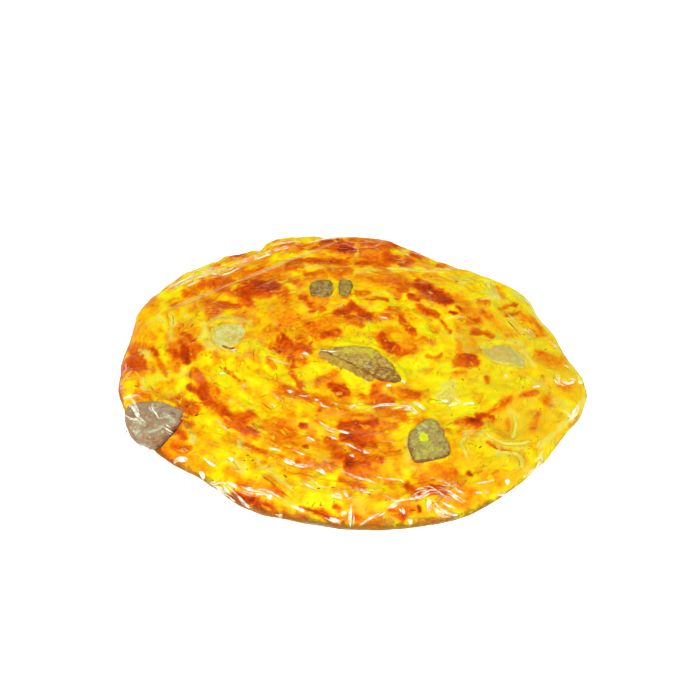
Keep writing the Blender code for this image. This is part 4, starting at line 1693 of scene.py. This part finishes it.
def meat_material(node, look):
    """Cooked meat: mottled grey flesh with edges darkened partly by browning and partly by painted shade,
    pale streaks that are partly painted glints of the film, and fatty spots.
    """
    paint = Paint("Cooked " + node.replace("_", " "))
    colour, fibres, patches, height = flesh(paint, paint.vector("grain"), look)
    # Near the outline seen from above, the flesh turns to the edge colour: partly browned meat, partly
    # painted shade on the side walls.
    edge = (paint.number("edge") + 2.0 * patches + 1.5 * fibres).ramp(0.35, 1.05)
    colour = paint.mix(edge * 0.7, colour, look["edge"])
    # Brown places: browned meat, and where strokes run along lower edges, painted shade.
    brown = (paint.number("brown") + 1.6 * fibres + 1.6 * patches).ramp(0.2, 0.9)
    colour = paint.mix(brown * 0.75, colour, MEAT_BROWN_AND_SHADE_COLOUR)
    # Pale streaks: partly pale flesh, partly painted glints of the film over the meat.
    streak = (paint.number("pale") + 2.0 * fibres + 1.2 * patches).ramp(0.3, 0.9)
    colour = paint.mix(streak * 0.8, colour, MEAT_PALE_AND_GLINT_COLOUR)
    fat = (paint.number("fat") + 0.5 * patches).ramp(0.3, 1.1)
    colour = paint.mix(fat * 0.95, colour, MEAT_FAT_COLOUR)
    return paint.skin(
        base_color=colour,
        roughness=0.6 + 0.3 * patches,
        specular_ior_level=0.1,
        normal=paint.bump(height, 0.5 * MM, 0.8),
    )


def make_fat(settings):
    """The two soft pieces of fat, with a fold in each, painted dark as shade. Their edges take the
    crust's colours.
    """
    crust = bpy.data.objects["bread_crust"]
    for number, (node, look) in enumerate(FAT_LOOKS.items()):
        form = refined_copy(node, 7, 14)
        points = np.array([vertex.co for vertex in form.verts])
        lumps = ripples(points, 7 * MM, 60 + number, 2)
        fine = ripples(points, 2 * MM, 70 + number, 2)
        folds = spot_mask(points, look["folds"])
        raised = 0.5 * MM * lumps + 0.15 * MM * fine - 1.0 * MM * folds
        for vertex, height in zip(form.verts, raised):
            vertex.co += vertex.normal * height
        piece = add_piece(node + "_piece", form, fat_material(node, look, settings), [node])
        points = points_of(piece.data)
        copy_paint(crust, piece, np.zeros((len(points), 2)))
        set_numbers(piece.data, "edge", edge_shares(node, points, 4.5 * MM))
        set_numbers(piece.data, "flesh", spot_mask(points, look["flesh"]))
        set_numbers(piece.data, "folds", spot_mask(points, look["folds"]))


# The pieces of fat: display colours, fleshy places and folds, whose dark line is painted shade, as
# strokes in photograph pixels
FAT_LOOKS = {
    "fat_left": {
        "main": display(226, 228, 132),
        "second": display(210, 200, 88),
        "flesh": ((((229, 333), (236, 336)), 4, 0.5), (((214, 324), (232, 322)), 2, 0.4)),
        "folds": (
            (((222, 345), (230, 348), (237, 348)), 0.9, 0.9),
            (((213, 340), (214, 350)), 0.7, 0.5),
        ),
    },
    "fat_right": {
        "main": display(214, 204, 106),
        "second": display(198, 194, 78),
        "flesh": ((((494, 350), (505, 354)), 6, 0.6), (((508, 355), (509, 356)), 1.5, 0.9)),
        "folds": ((((510, 346), (516, 354), (524, 360)), 0.8, 0.4),),
    },
}
FAT_EDGE_COLOUR = display(224, 176, 44)
FAT_FLESH_COLOUR = display(222, 168, 84)
FAT_FOLD_SHADE_COLOUR = display(166, 92, 18)


def fat_material(node, look, settings):
    """Soft pale fat with fleshy places, whose ragged edges run out into the crust."""
    paint = Paint("Soft " + node.replace("_", " "))
    cloud = paint.noise(4.5 * MM, 4.0, rough=0.65)
    fine = paint.noise(1.2 * MM, 3.0)
    upright = paint.noise(2.6 * MM, 3.0, stretch=(1, 0.3, 1), rough=0.6)
    colour = paint.mix((cloud + 0.8 * (upright - 0.5)).ramp(0.38, 0.62), look["main"], look["second"])
    flesh = (paint.number("flesh") + 1.2 * (cloud - 0.5) + 0.9 * (fine - 0.5)).ramp(0.15, 0.9)
    colour = paint.mix(flesh * 0.8, colour, FAT_FLESH_COLOUR)
    golden = (cloud - 0.6 * (upright - 0.5) + 0.8 * (fine - 0.5)).ramp(0.54, 0.70)
    colour = paint.mix(golden * 0.6, colour, FAT_EDGE_COLOUR)
    edge = paint.number("edge") + 2.8 * (cloud - 0.5) + 1.6 * (upright - 0.5) + 0.8 * (fine - 0.5)
    colour = paint.mix(edge.ramp(0.45, 0.75), colour, crust_colour(paint, settings)[0])
    # The folds are painted dark brown: painted shade in the crease.
    colour = paint.mix(paint.number("folds").ramp(0.3, 0.9), colour, FAT_FOLD_SHADE_COLOUR)
    return paint.skin(
        base_color=colour,
        roughness=0.4 + 0.2 * fine,
        specular_ior_level=0.3,
        subsurface_weight=0.15,
        subsurface_radius=(0.004, 0.003, 0.001),
        normal=paint.bump(fine + cloud, 0.3 * MM, 0.8),
    )


def make_onion(settings):
    """The strips of onion, soft and ribbed along their length."""
    material = onion_material(settings)
    nodes = sorted(name for name in frame["nodes"] if name.startswith("onion_"))
    for number, node in enumerate(nodes):
        form = refined_copy(node, 3, 5)
        points = np.array([vertex.co for vertex in form.verts])
        raised = 0.25 * MM * ripples(points, 2.5 * MM, 80 + number, 3)
        for vertex, height in zip(form.verts, raised):
            vertex.co += vertex.normal * height
        add_piece(node + "_strip", form, material, [node])


def onion_material(settings):
    """Cooked onion: pale and yellow-green, a little see-through."""
    paint = Paint("Cooked onion")
    cloud = paint.noise(6 * MM, 2.0)
    ribs = paint.noise(0.8 * MM, 2.0)
    colour = paint.mix(cloud.ramp(0.35, 0.65), settings.onion_colour, settings.onion_second)
    colour = paint.mix((ribs + cloud * 0.3).ramp(0.62, 0.85) * 0.5, colour, FAT_EDGE_COLOUR)
    return paint.skin(
        base_color=colour,
        roughness=0.35,
        specular_ior_level=0.3,
        subsurface_weight=0.2,
        subsurface_radius=(0.003, 0.003, 0.001),
        normal=paint.bump(ribs, 0.2 * MM, 0.7),
    )


def finished_pieces():
    """The pieces that are already made and lie under the film."""
    return [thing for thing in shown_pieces() if "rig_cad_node" not in thing and "film" not in thing.name]


def make_film(settings):
    """The clear film: a skin drawn tight over the crust and all that stands proud of it."""
    under = tree_of(finished_pieces())
    form = round_skin(settings.cuts)
    flat = np.array([vertex.co for vertex in form.verts])
    feet, ways, _, _ = ways_out(flat)
    top = (settings.cuts + 1) ** 2
    lowest = skin_distances(under, feet, ways) + settings.clear
    drawn = lowest.copy()
    for _ in range(settings.drawing):
        drawn[:top] = np.maximum(evened(drawn[:top], 1), lowest[:top])
    drawn[:top] = evened(drawn[:top], 1) + 0.05 * MM
    points = feet + ways * drawn[:, None]
    points[:, 2] = np.maximum(points[:, 2], 0.0)
    for vertex, point in zip(form.verts, points):
        vertex.co = point
    bmesh.ops.recalc_face_normals(form, faces=form.faces)
    add_piece("film_wrap", form, film_material(settings), ["wrapped_bread"])


def film_material(settings):
    """Clear stretched film: see-through, with a mirror gloss on its fine wrinkles."""
    paint = Paint("Clear film")
    wrinkles = paint.noise(9 * MM, 3.0, stretch=(0.4, 1, 1), turn=0.4)
    ridge = abs(wrinkles - 0.5).ramp(0.05, 0.0)
    fine = paint.noise(2.5 * MM, 2.0, stretch=(0.3, 1, 1), turn=0.4)
    where = paint.noise(22 * MM, 2.0).ramp(0.42, 0.6)
    fold = ridge * where
    normal = paint.bump(fold + 0.15 * fine, 0.5 * MM, 0.8)
    gloss = paint.node("ShaderNodeBsdfGlossy", {}, {"Roughness": 0.15, "Normal": normal})
    clear = paint.node("ShaderNodeBsdfTransparent")
    facing = paint.node("ShaderNodeFresnel", {}, {"IOR": settings.film_ior, "Normal": normal})
    shared = {0: facing * (0.05 + 0.95 * fold), 1: clear, 2: gloss}
    return paint.finish(paint.node("ShaderNodeMixShader", {}, shared))


def crease_strip(form, tree, line, half_width, strength, rise, even=False):
    """Add one pinched fold to a shape: a low ridge laid on the film along a line, with a painted glint
    that shows whitest along both edges and less in its middle, and more there where it is narrow."""
    steps = max(8, int(4 * len(line)))
    middle_shine = 0.9 if half_width < 1.3 else 0.65
    part = bmesh.new()
    shine = part.verts.layers.float.new("shine")
    strand = part.verts.layers.float_vector.new("strand")
    length = sum((after - before).length for before, after in zip(line[:-1], line[1:]))
    bmesh.ops.create_grid(part, x_segments=steps, y_segments=8, size=1.0)
    for vertex in part.verts:
        along = (vertex.co.x + 1) / 2
        aside = vertex.co.y
        here, way = point_along(line, along)
        spot, normal, _, _ = tree.find_nearest(here)
        side = normal.cross(way).normalized()
        taper = 1 - (2 * along - 1) ** (12 if even else 2)
        width = half_width * PIXEL * (0.25 + 1.1 * taper)
        spot, normal, _, _ = tree.find_nearest(spot + side * aside * width)
        vertex.co = spot + normal * (0.06 * MM + rise * taper * (1 - aside ** 2))
        edge = 1 - min(abs(abs(aside) - 0.6) / 0.35, 1.0)
        middle = max(1 - abs(aside) * 1.4, 0.0)
        # For a fold, the shine is a painted glint: it sets how opaque the fold's whitish colour shows.
        vertex[shine] = strength * (0.3 + 0.8 * taper) * max(edge, middle_shine * middle)
        vertex[strand] = Vector((along * length, aside * width, line[0].x + line[0].y))
    join_in(form, part)


def point_along(line, share):
    """The place and direction at a share of a smooth line through several places."""
    position = min(max(share, 0.0), 1.0) * (len(line) - 1)
    i = min(int(position), len(line) - 2)
    near = [line[min(max(i + k, 0), len(line) - 1)] for k in (-1, 0, 1, 2)]
    t = position - i
    before, start, end, after = near
    place = 0.5 * (
        2 * start
        + (end - before) * t
        + (2 * before - 5 * start + 4 * end - after) * t ** 2
        + (3 * start - before - 3 * end + after) * t ** 3
    )
    way = (end - before) * 0.5 * (1 - t) + (after - start) * 0.5 * t
    return place, way.normalized()


def make_creases(settings):
    """The film's pinched folds, with their glints painted on as whitish colour: those that the photograph
    shows, and a few more on the sides that it doesn't."""
    tree = tree_of([bpy.data.objects["film_wrap"]])
    draw = random.Random(settings.seed)
    form = bmesh.new()
    for places, half_width, strength in CREASES_AND_GLINTS:
        line = [place_on(tree, place) for place in places]
        crease_strip(form, tree, line, 0.85 * half_width, strength, settings.crease_rise)
        for _ in range(settings.companions):
            near = beside(draw, tree, line)
            crease_strip(form, tree, near, 0.5, 0.85 * strength, settings.crease_rise)
    for _ in range(settings.extra_creases):
        line = side_line(draw, tree)
        width = draw.uniform(0.8, 1.8)
        crease_strip(form, tree, line, width, draw.uniform(0.4, 0.8), settings.crease_rise)
    add_piece("film_creases_painted_glints", form, painted_glint_material(), ["wrapped_bread"])


def beside(draw, tree, line):
    """A finer fold that runs beside a line for a part of its length."""
    aside = Vector((draw.uniform(-1.6, 1.6), draw.uniform(-1.6, 1.6), 0)) * MM
    start = draw.uniform(-0.1, 0.5)
    end = start + draw.uniform(0.35, 0.7)
    places = []
    for step in range(FOLD_STEPS + 1):
        place, _ = point_along(line, start + (end - start) * step / FOLD_STEPS)
        jitter = Vector((draw.uniform(-0.3, 0.3), draw.uniform(-0.3, 0.3), 0)) * MM
        places.append(tree.find_nearest(place + aside + jitter)[0])
    return places


def make_band(settings):
    """The straight overlap where two layers of film cross the back of the bread."""
    tree = tree_of([bpy.data.objects["film_wrap"]])
    form = bmesh.new()
    line = []
    for step in range(OVERLAP_STEPS + 1):
        place = Vector(FOLD_START).lerp(Vector(FOLD_END), step / OVERLAP_STEPS)
        line.append(place_on(tree, place))
    crease_strip(form, tree, line, settings.band_width, 1.0, 0.1 * MM, even=True)
    add_piece("film_overlap", form, band_material(), ["wrapped_bread"])


def band_material():
    """Two layers of film: milky, and clear again at the edges."""
    paint = Paint("Doubled film")
    threads = paint.noise(1.2 * MM, 2.0, where=paint.vector("strand"), stretch=(0.05, 1, 1)) - 0.5
    alpha = (paint.number("shine") + 0.8 * threads).ramp(0.1, 0.9)
    return paint.skin(
        base_color=(*display(250, 232, 150), 1),
        roughness=0.3,
        specular_ior_level=0.2,
        alpha=alpha * 0.42,
    )


def side_line(draw, tree):
    """A short line down the back or a side of the rim, where film gathers under the bread."""
    angle = draw.uniform(0.3, math.pi - 0.3)
    lean = draw.uniform(-0.09, 0.09)
    line = []
    for step in range(FOLD_STEPS + 1):
        turned = angle + lean * step / FOLD_STEPS
        out = Vector((math.cos(turned), math.sin(turned), 0)) * PAST_THE_RIM
        out.z = (11 - 3.2 * step) * MM
        line.append(tree.find_nearest(out)[0])
    return line


def painted_glint_material():
    """Film bunched in a fold: partly whitened film, partly a painted glint, white along the fold by its
    colour and fading out at its edges.
    """
    paint = Paint("Folded film with painted glints")
    where = paint.vector("strand")
    threads = paint.noise(0.6 * MM, 2.0, where=where, stretch=(0.15, 1, 1)) - 0.5
    breaks = paint.noise(3.5 * MM, 3.0, where=where, stretch=(1, 0.3, 1)) - 0.5
    alpha = (paint.number("shine") + 0.9 * threads + 1.5 * breaks).ramp(0.1, 1.05)
    return paint.skin(
        base_color=(0.97, 0.95, 0.74, 1),
        roughness=0.25,
        specular_ior_level=0.3,
        alpha=alpha * 0.95,
        normal=paint.bump(threads, 0.3 * MM, 0.8),
    )


def make_stage(settings):
    """The pale floor, which turns up a little far away, the soft light and the camera."""
    form = bmesh.new()
    bmesh.ops.create_grid(form, x_segments=1, y_segments=1, size=settings.floor_size / 2)
    made = bmesh.ops.extrude_edge_only(form, edges=form.edges[:])["geom"]
    for vertex in [part for part in made if isinstance(part, bmesh.types.BMVert)]:
        vertex.co = vertex.co * 1.1 + Vector((0, 0, settings.floor_size * 0.06))
    mesh = bpy.data.meshes.new("floor")
    form.to_mesh(mesh)
    form.free()
    paint = Paint("Pale floor")
    mesh.materials.append(paint.skin(
        base_color=(*settings.floor_colour, 1),
        roughness=0.9,
        specular_ior_level=0.0,
        emission_color=(1, 1, 1, 1),
        emission_strength=settings.floor_glow,
    ))
    floor = bpy.data.objects.new("floor", mesh)
    floor.location.z = -0.3 * MM
    bpy.context.scene.collection.objects.link(floor)
    floor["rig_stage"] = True

    for name, place, size, power in LAMPS:
        light = bpy.data.lights.new(name, "AREA")
        light.shape = "DISK"
        light.size = size
        light.energy = power * settings.light_power
        lamp = bpy.data.objects.new(name, light)
        lamp.location = place
        lamp.rotation_euler = (-Vector(place)).to_track_quat("-Z", "Y").to_euler()
        bpy.context.scene.collection.objects.link(lamp)

    world = bpy.data.worlds.new("Soft room light")
    world.use_nodes = True
    background = world.node_tree.nodes["Background"]
    background.inputs["Color"].default_value = (1, 1, 1, 1)
    background.inputs["Strength"].default_value = settings.room_light
    scene = bpy.context.scene
    scene.world = world
    scene.view_settings.view_transform = "Standard"

    camera = bpy.data.objects.new("Camera", bpy.data.cameras.new("Camera"))
    camera.data.lens = LENS
    camera.data.sensor_width = SENSOR_WIDTH
    camera.location = VIEW_FROM
    camera.rotation_euler = (-VIEW_BACK).to_track_quat("-Z", "Y").to_euler()
    scene.collection.objects.link(camera)
    scene.camera = camera


# Lamps: name, place in metres, width in metres and share of the light's power
LAMPS = (
    ("Overhead softbox", (-0.15, -0.1, 1.5), 1.5, 27.5),
    ("Front left fill", (-0.9, -1.2, 0.6), 1.0, 12.0),
    ("Front right fill", (1.0, -1.1, 0.6), 1.0, 11.0),
    ("Small lamp left", (-0.55, 0.35, 0.9), 0.06, 0.5),
    ("Small lamp right", (0.5, 0.5, 0.95), 0.06, 0.5),
    ("Small lamp back", (0.0, 0.95, 0.9), 0.06, 0.5),
)


class PatirCrustSettings(bpy.types.PropertyGroup):
    """Sizes and colours of the baked bread."""

    cuts: IntProperty(name="Cuts", description="Quads along a side of the top's grid", default=286)
    evening: IntProperty(name="Evening", description="Rounds that even out the facets", default=8)
    creeping: IntProperty(
        name="Creeping", description="Rounds that spread the lip round the filling", default=12,
    )
    standing: FloatProperty(
        name="Standing out", description="How far the flaky crust stands out from the solid",
        default=0.5 * MM, unit="LENGTH",
    )
    flake_height: FloatProperty(
        name="Flakes", description="Step from one flaky layer to the next",
        default=0.28 * MM, unit="LENGTH",
    )
    blister_height: FloatProperty(
        name="Blisters", description="Height of the toasted blisters",
        default=0.5 * MM, unit="LENGTH",
    )
    seam_depth: FloatProperty(
        name="Seam", description="Depth of the seam between two turns of the coil",
        default=0.6 * MM, unit="LENGTH",
    )
    flakes: IntProperty(name="Lifted flakes", description="Number of lifted flakes", default=460)
    crumbs: IntProperty(name="Crumbs", description="Number of scattered dark crumbs", default=60)
    flake_seed: IntProperty(name="Seed", description="Start of the flakes' draws", default=8)
    green_colour: FloatVectorProperty(
        name="Green tinge", description="Colour of the soaked dough at the right",
        default=display(234, 216, 40), subtype="COLOR",
    )
    # The pale colour also paints the film's sheen along some rims.
    pale_colour: FloatVectorProperty(
        name="Pale", description="Colour of the pale, juicy places",
        default=display(236, 228, 96), subtype="COLOR",
    )
    # The lower rim's colour: partly browned bottom crust, partly painted shade at the foot of the rim.
    under_crust_and_shade_colour: FloatVectorProperty(
        name="Lower rim", description="Colour of the bottom crust, seen at the rim",
        default=display(140, 88, 20), subtype="COLOR",
    )
    speck_colour: FloatVectorProperty(
        name="Specks", description="Colour of the small burnt specks",
        default=display(140, 62, 6), subtype="COLOR",
    )


class PatirFillingSettings(bpy.types.PropertyGroup):
    """Sizes and colours of the meat, fat and onion."""

    fibre_height: FloatProperty(
        name="Fibres", description="Height of the meat's fibres", default=0.35 * MM, unit="LENGTH",
    )
    lump_height: FloatProperty(
        name="Lumps", description="Height of the meat's lumps", default=0.6 * MM, unit="LENGTH",
    )
    onion_colour: FloatVectorProperty(
        name="Onion", description="Main colour of the onion",
        default=display(244, 230, 72), subtype="COLOR",
    )
    onion_second: FloatVectorProperty(
        name="Onion shade", description="Second colour of the onion",
        default=display(232, 218, 60), subtype="COLOR",
    )


class PatirFilmSettings(bpy.types.PropertyGroup):
    """Sizes of the clear film and its creases."""

    cuts: IntProperty(name="Cuts", description="Quads along a side of the top's grid", default=286)
    drawing: IntProperty(name="Drawing", description="Rounds that draw the film tight", default=60)
    clear: FloatProperty(
        name="Clearance", description="Least gap over the crust", default=0.2 * MM, unit="LENGTH",
    )
    film_ior: FloatProperty(name="Gloss", description="Refractive index of the film", default=1.33)
    crease_rise: FloatProperty(
        name="Crease", description="Height of a pinched fold", default=0.35 * MM, unit="LENGTH",
    )
    band_width: FloatProperty(
        name="Overlap", description="Half the width of the overlap in photograph pixels", default=2.2,
    )
    companions: IntProperty(name="Companions", description="Finer folds beside each", default=2)
    extra_creases: IntProperty(name="Side creases", description="Folds on the hidden sides", default=40)
    seed: IntProperty(name="Seed", description="Start of the random draws", default=5)


class PatirStageSettings(bpy.types.PropertyGroup):
    """Light and floor."""

    floor_size: FloatProperty(
        name="Floor", description="Width of the floor", default=12.0, unit="LENGTH",
    )
    floor_colour: FloatVectorProperty(
        name="Floor colour", description="Colour of the floor",
        default=(0.96, 0.96, 0.96), subtype="COLOR",
    )
    floor_glow: FloatProperty(name="Floor glow", description="Light of a lit table", default=0.9)
    light_power: FloatProperty(name="Light", description="Scale of all the lamps", default=1.0)
    room_light: FloatProperty(name="Room light", description="Strength of the even light", default=0.14)


class PATIR_OT_crust(bpy.types.Operator):
    """Model and paint the baked bread"""

    bl_idname = "patir.crust"
    bl_label = "Crust"

    def execute(self, context):
        """Make the bread."""
        make_crust(context.scene.patir_crust)
        return {"FINISHED"}


class PATIR_OT_flakes(bpy.types.Operator):
    """Lay the crust's lifted flakes and its dark crumbs"""

    bl_idname = "patir.flakes"
    bl_label = "Flakes and crumbs"

    def execute(self, context):
        """Make the flakes and the crumbs."""
        make_flakes(context.scene.patir_crust)
        return {"FINISHED"}


class PATIR_OT_meat(bpy.types.Operator):
    """Model the chunks of meat"""

    bl_idname = "patir.meat"
    bl_label = "Meat"

    def execute(self, context):
        """Make the meat."""
        make_meat(context.scene.patir_filling)
        return {"FINISHED"}


class PATIR_OT_fat(bpy.types.Operator):
    """Model the pieces of fat"""

    bl_idname = "patir.fat"
    bl_label = "Fat"

    def execute(self, context):
        """Make the fat."""
        make_fat(context.scene.patir_crust)
        return {"FINISHED"}


class PATIR_OT_onion(bpy.types.Operator):
    """Model the strips of onion"""

    bl_idname = "patir.onion"
    bl_label = "Onion"

    def execute(self, context):
        """Make the onion."""
        make_onion(context.scene.patir_filling)
        return {"FINISHED"}


class PATIR_OT_film(bpy.types.Operator):
    """Draw the clear film over the bread"""

    bl_idname = "patir.film"
    bl_label = "Film"

    def execute(self, context):
        """Make the film."""
        make_film(context.scene.patir_film)
        return {"FINISHED"}


class PATIR_OT_creases(bpy.types.Operator):
    """Pinch the film into its creases"""

    bl_idname = "patir.creases"
    bl_label = "Creases"

    def execute(self, context):
        """Make the creases."""
        make_creases(context.scene.patir_film)
        make_band(context.scene.patir_film)
        return {"FINISHED"}


class PATIR_OT_stage(bpy.types.Operator):
    """Set up the floor, the light and the camera"""

    bl_idname = "patir.stage"
    bl_label = "Stage"

    def execute(self, context):
        """Make the stage."""
        make_stage(context.scene.patir_stage)
        return {"FINISHED"}


STEPS = (
    PATIR_OT_crust,
    PATIR_OT_flakes,
    PATIR_OT_meat,
    PATIR_OT_fat,
    PATIR_OT_onion,
    PATIR_OT_film,
    PATIR_OT_creases,
    PATIR_OT_stage,
)
GROUPS = {
    "patir_crust": PatirCrustSettings,
    "patir_filling": PatirFillingSettings,
    "patir_film": PatirFilmSettings,
    "patir_stage": PatirStageSettings,
}


class PATIR_PT_panel(bpy.types.Panel):
    """Settings and steps of the meat patir."""

    bl_idname = "PATIR_PT_panel"
    bl_label = "Meat patir"
    bl_space_type = "VIEW_3D"
    bl_region_type = "UI"
    bl_category = "Patir"

    def draw(self, context):
        """List each group's settings, then a button for each step."""
        for group in GROUPS:
            settings = getattr(context.scene, group)
            box = self.layout.box()
            for name in settings.__annotations__:
                box.prop(settings, name)
        for step in STEPS:
            self.layout.operator(step.bl_idname)


def register():
    """Register the classes and hang their settings on the scene."""
    for group in (*GROUPS.values(), *STEPS, PATIR_PT_panel):
        bpy.utils.register_class(group)
    for name, group in GROUPS.items():
        setattr(bpy.types.Scene, name, PointerProperty(type=group))


def unregister():
    """Take the settings and the classes away again."""
    for name in GROUPS:
        delattr(bpy.types.Scene, name)
    for group in (PATIR_PT_panel, *reversed(STEPS), *reversed(GROUPS.values())):
        bpy.utils.unregister_class(group)


def main():
    """Dress the frame step by step."""
    register()
    bpy.ops.patir.crust()
    bpy.ops.patir.flakes()
    bpy.ops.patir.meat()
    bpy.ops.patir.fat()
    bpy.ops.patir.onion()
    bpy.ops.patir.film()
    bpy.ops.patir.creases()
    bpy.ops.patir.stage()


if __name__ == "__main__":
    main()
